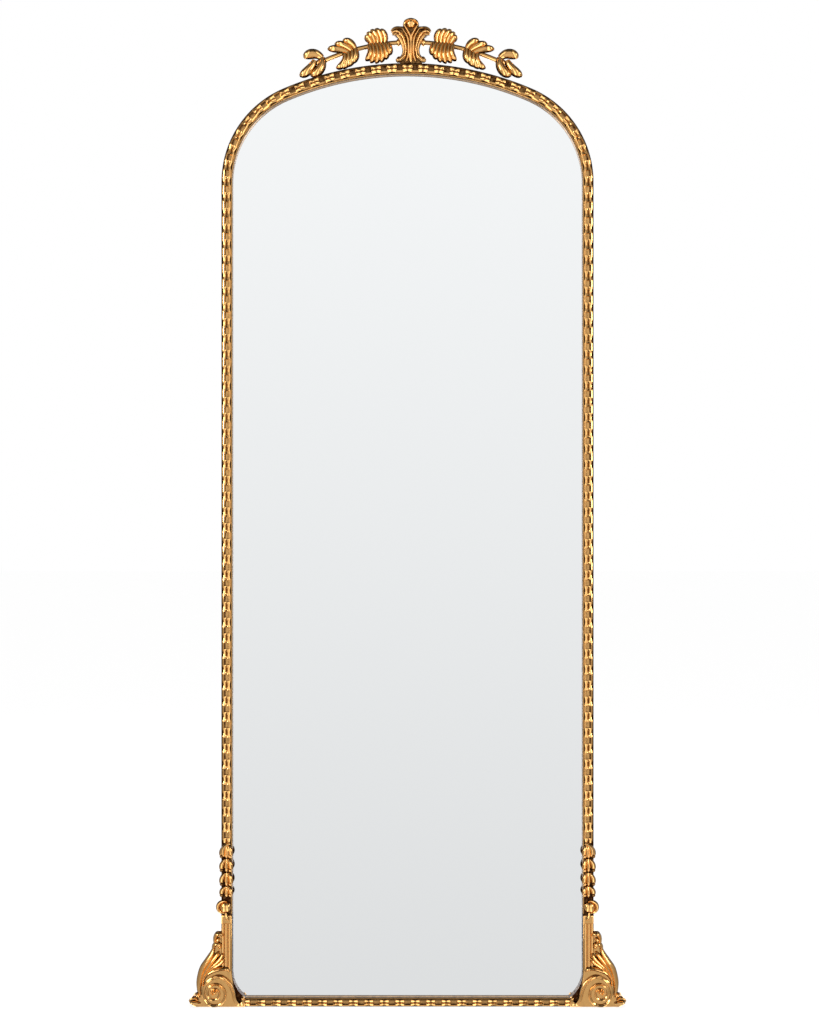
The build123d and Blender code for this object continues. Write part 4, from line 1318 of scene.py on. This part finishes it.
class MIRROR_OT_stage(bpy.types.Operator):
    """Sets the floor, the soft lights, the camera and the view"""

    bl_idname = "mirror.stage"
    bl_label = "Studio stage"

    def execute(self, context):
        scene = context.scene
        deselect()
        bpy.ops.mesh.primitive_plane_add(size=40, location=(0, 0, cad_bounds[0][2]))
        ground = context.object
        ground.name = "studio_floor"
        ground.data.materials.append(floor_finish())
        studio_world()
        middle = (0, 0, 0.85)
        softbox("left_softbox", (-2.2, -1.9, 1.5), middle, 0.5, 1.6, 26)
        softbox("right_softbox", (2.4, -1.7, 1.3), middle, 0.4, 1.4, 18)
        overhead = softbox("top_softbox", (0, -0.6, 3.1), middle, 1.8, 1.2, 30)
        overhead.visible_glossy = False
        softbox("back_softbox", (0, 3.0, 2.2), middle, 2.0, 1.4, 30)
        # The camera stands level and straight in front, and sees this height at the moulding's face
        aside, distance, view_height = 3.5 * MM, 2.75, 0.865
        seen_height, face_depth, sensor_height = 1.7894, 28 * MM, 24
        deselect()
        place = (aside, -distance, view_height)
        bpy.ops.object.camera_add(location=place, rotation=(math.radians(90), 0, 0))
        camera = context.object
        camera.data.sensor_fit = "VERTICAL"
        camera.data.sensor_height = sensor_height
        camera.data.lens = sensor_height * (distance - face_depth) / seen_height
        camera.data.clip_end = 100
        scene.camera = camera
        scene.view_settings.view_transform = "Standard"
        return {"FINISHED"}


class MIRROR_PT_panel(bpy.types.Panel):
    """Lists the sizes, the finishes and the steps that build the mirror"""

    bl_label = "Arched wall mirror"
    bl_idname = "MIRROR_PT_panel"
    bl_space_type = "VIEW_3D"
    bl_region_type = "UI"
    bl_category = "Mirror"

    def draw(self, context):
        layout = self.layout
        scene = context.scene
        for group in (scene.mirror_frame_sizes, scene.mirror_ornament_sizes, scene.mirror_finishes):
            box = layout.box()
            for name in group.bl_rna.properties.keys():
                if name not in ("rna_type", "name"):
                    box.prop(group, name)
        for step in STEPS:
            layout.operator(step.bl_idname)


STEPS = (
    MIRROR_OT_mouldings,
    MIRROR_OT_stile_ornament,
    MIRROR_OT_corner_scrolls,
    MIRROR_OT_crest,
    MIRROR_OT_glass_and_back,
    MIRROR_OT_hangers,
    MIRROR_OT_stage,
)
GROUPS = (MirrorFrameSizes, MirrorOrnamentSizes, MirrorFinishes)


def register():
    for item in (*GROUPS, *STEPS, MIRROR_PT_panel):
        bpy.utils.register_class(item)
    bpy.types.Scene.mirror_frame_sizes = bpy.props.PointerProperty(type=MirrorFrameSizes)
    bpy.types.Scene.mirror_ornament_sizes = bpy.props.PointerProperty(type=MirrorOrnamentSizes)
    bpy.types.Scene.mirror_finishes = bpy.props.PointerProperty(type=MirrorFinishes)


def unregister():
    del bpy.types.Scene.mirror_finishes
    del bpy.types.Scene.mirror_ornament_sizes
    del bpy.types.Scene.mirror_frame_sizes
    for item in reversed((*GROUPS, *STEPS, MIRROR_PT_panel)):
        bpy.utils.unregister_class(item)


def main():
    register()
    bpy.ops.mirror.mouldings()
    bpy.ops.mirror.stile_ornament()
    bpy.ops.mirror.corner_scrolls()
    bpy.ops.mirror.crest()
    bpy.ops.mirror.glass_and_back()
    bpy.ops.mirror.hangers()
    bpy.ops.mirror.stage()
    deselect()


if __name__ == "__main__":
    main()
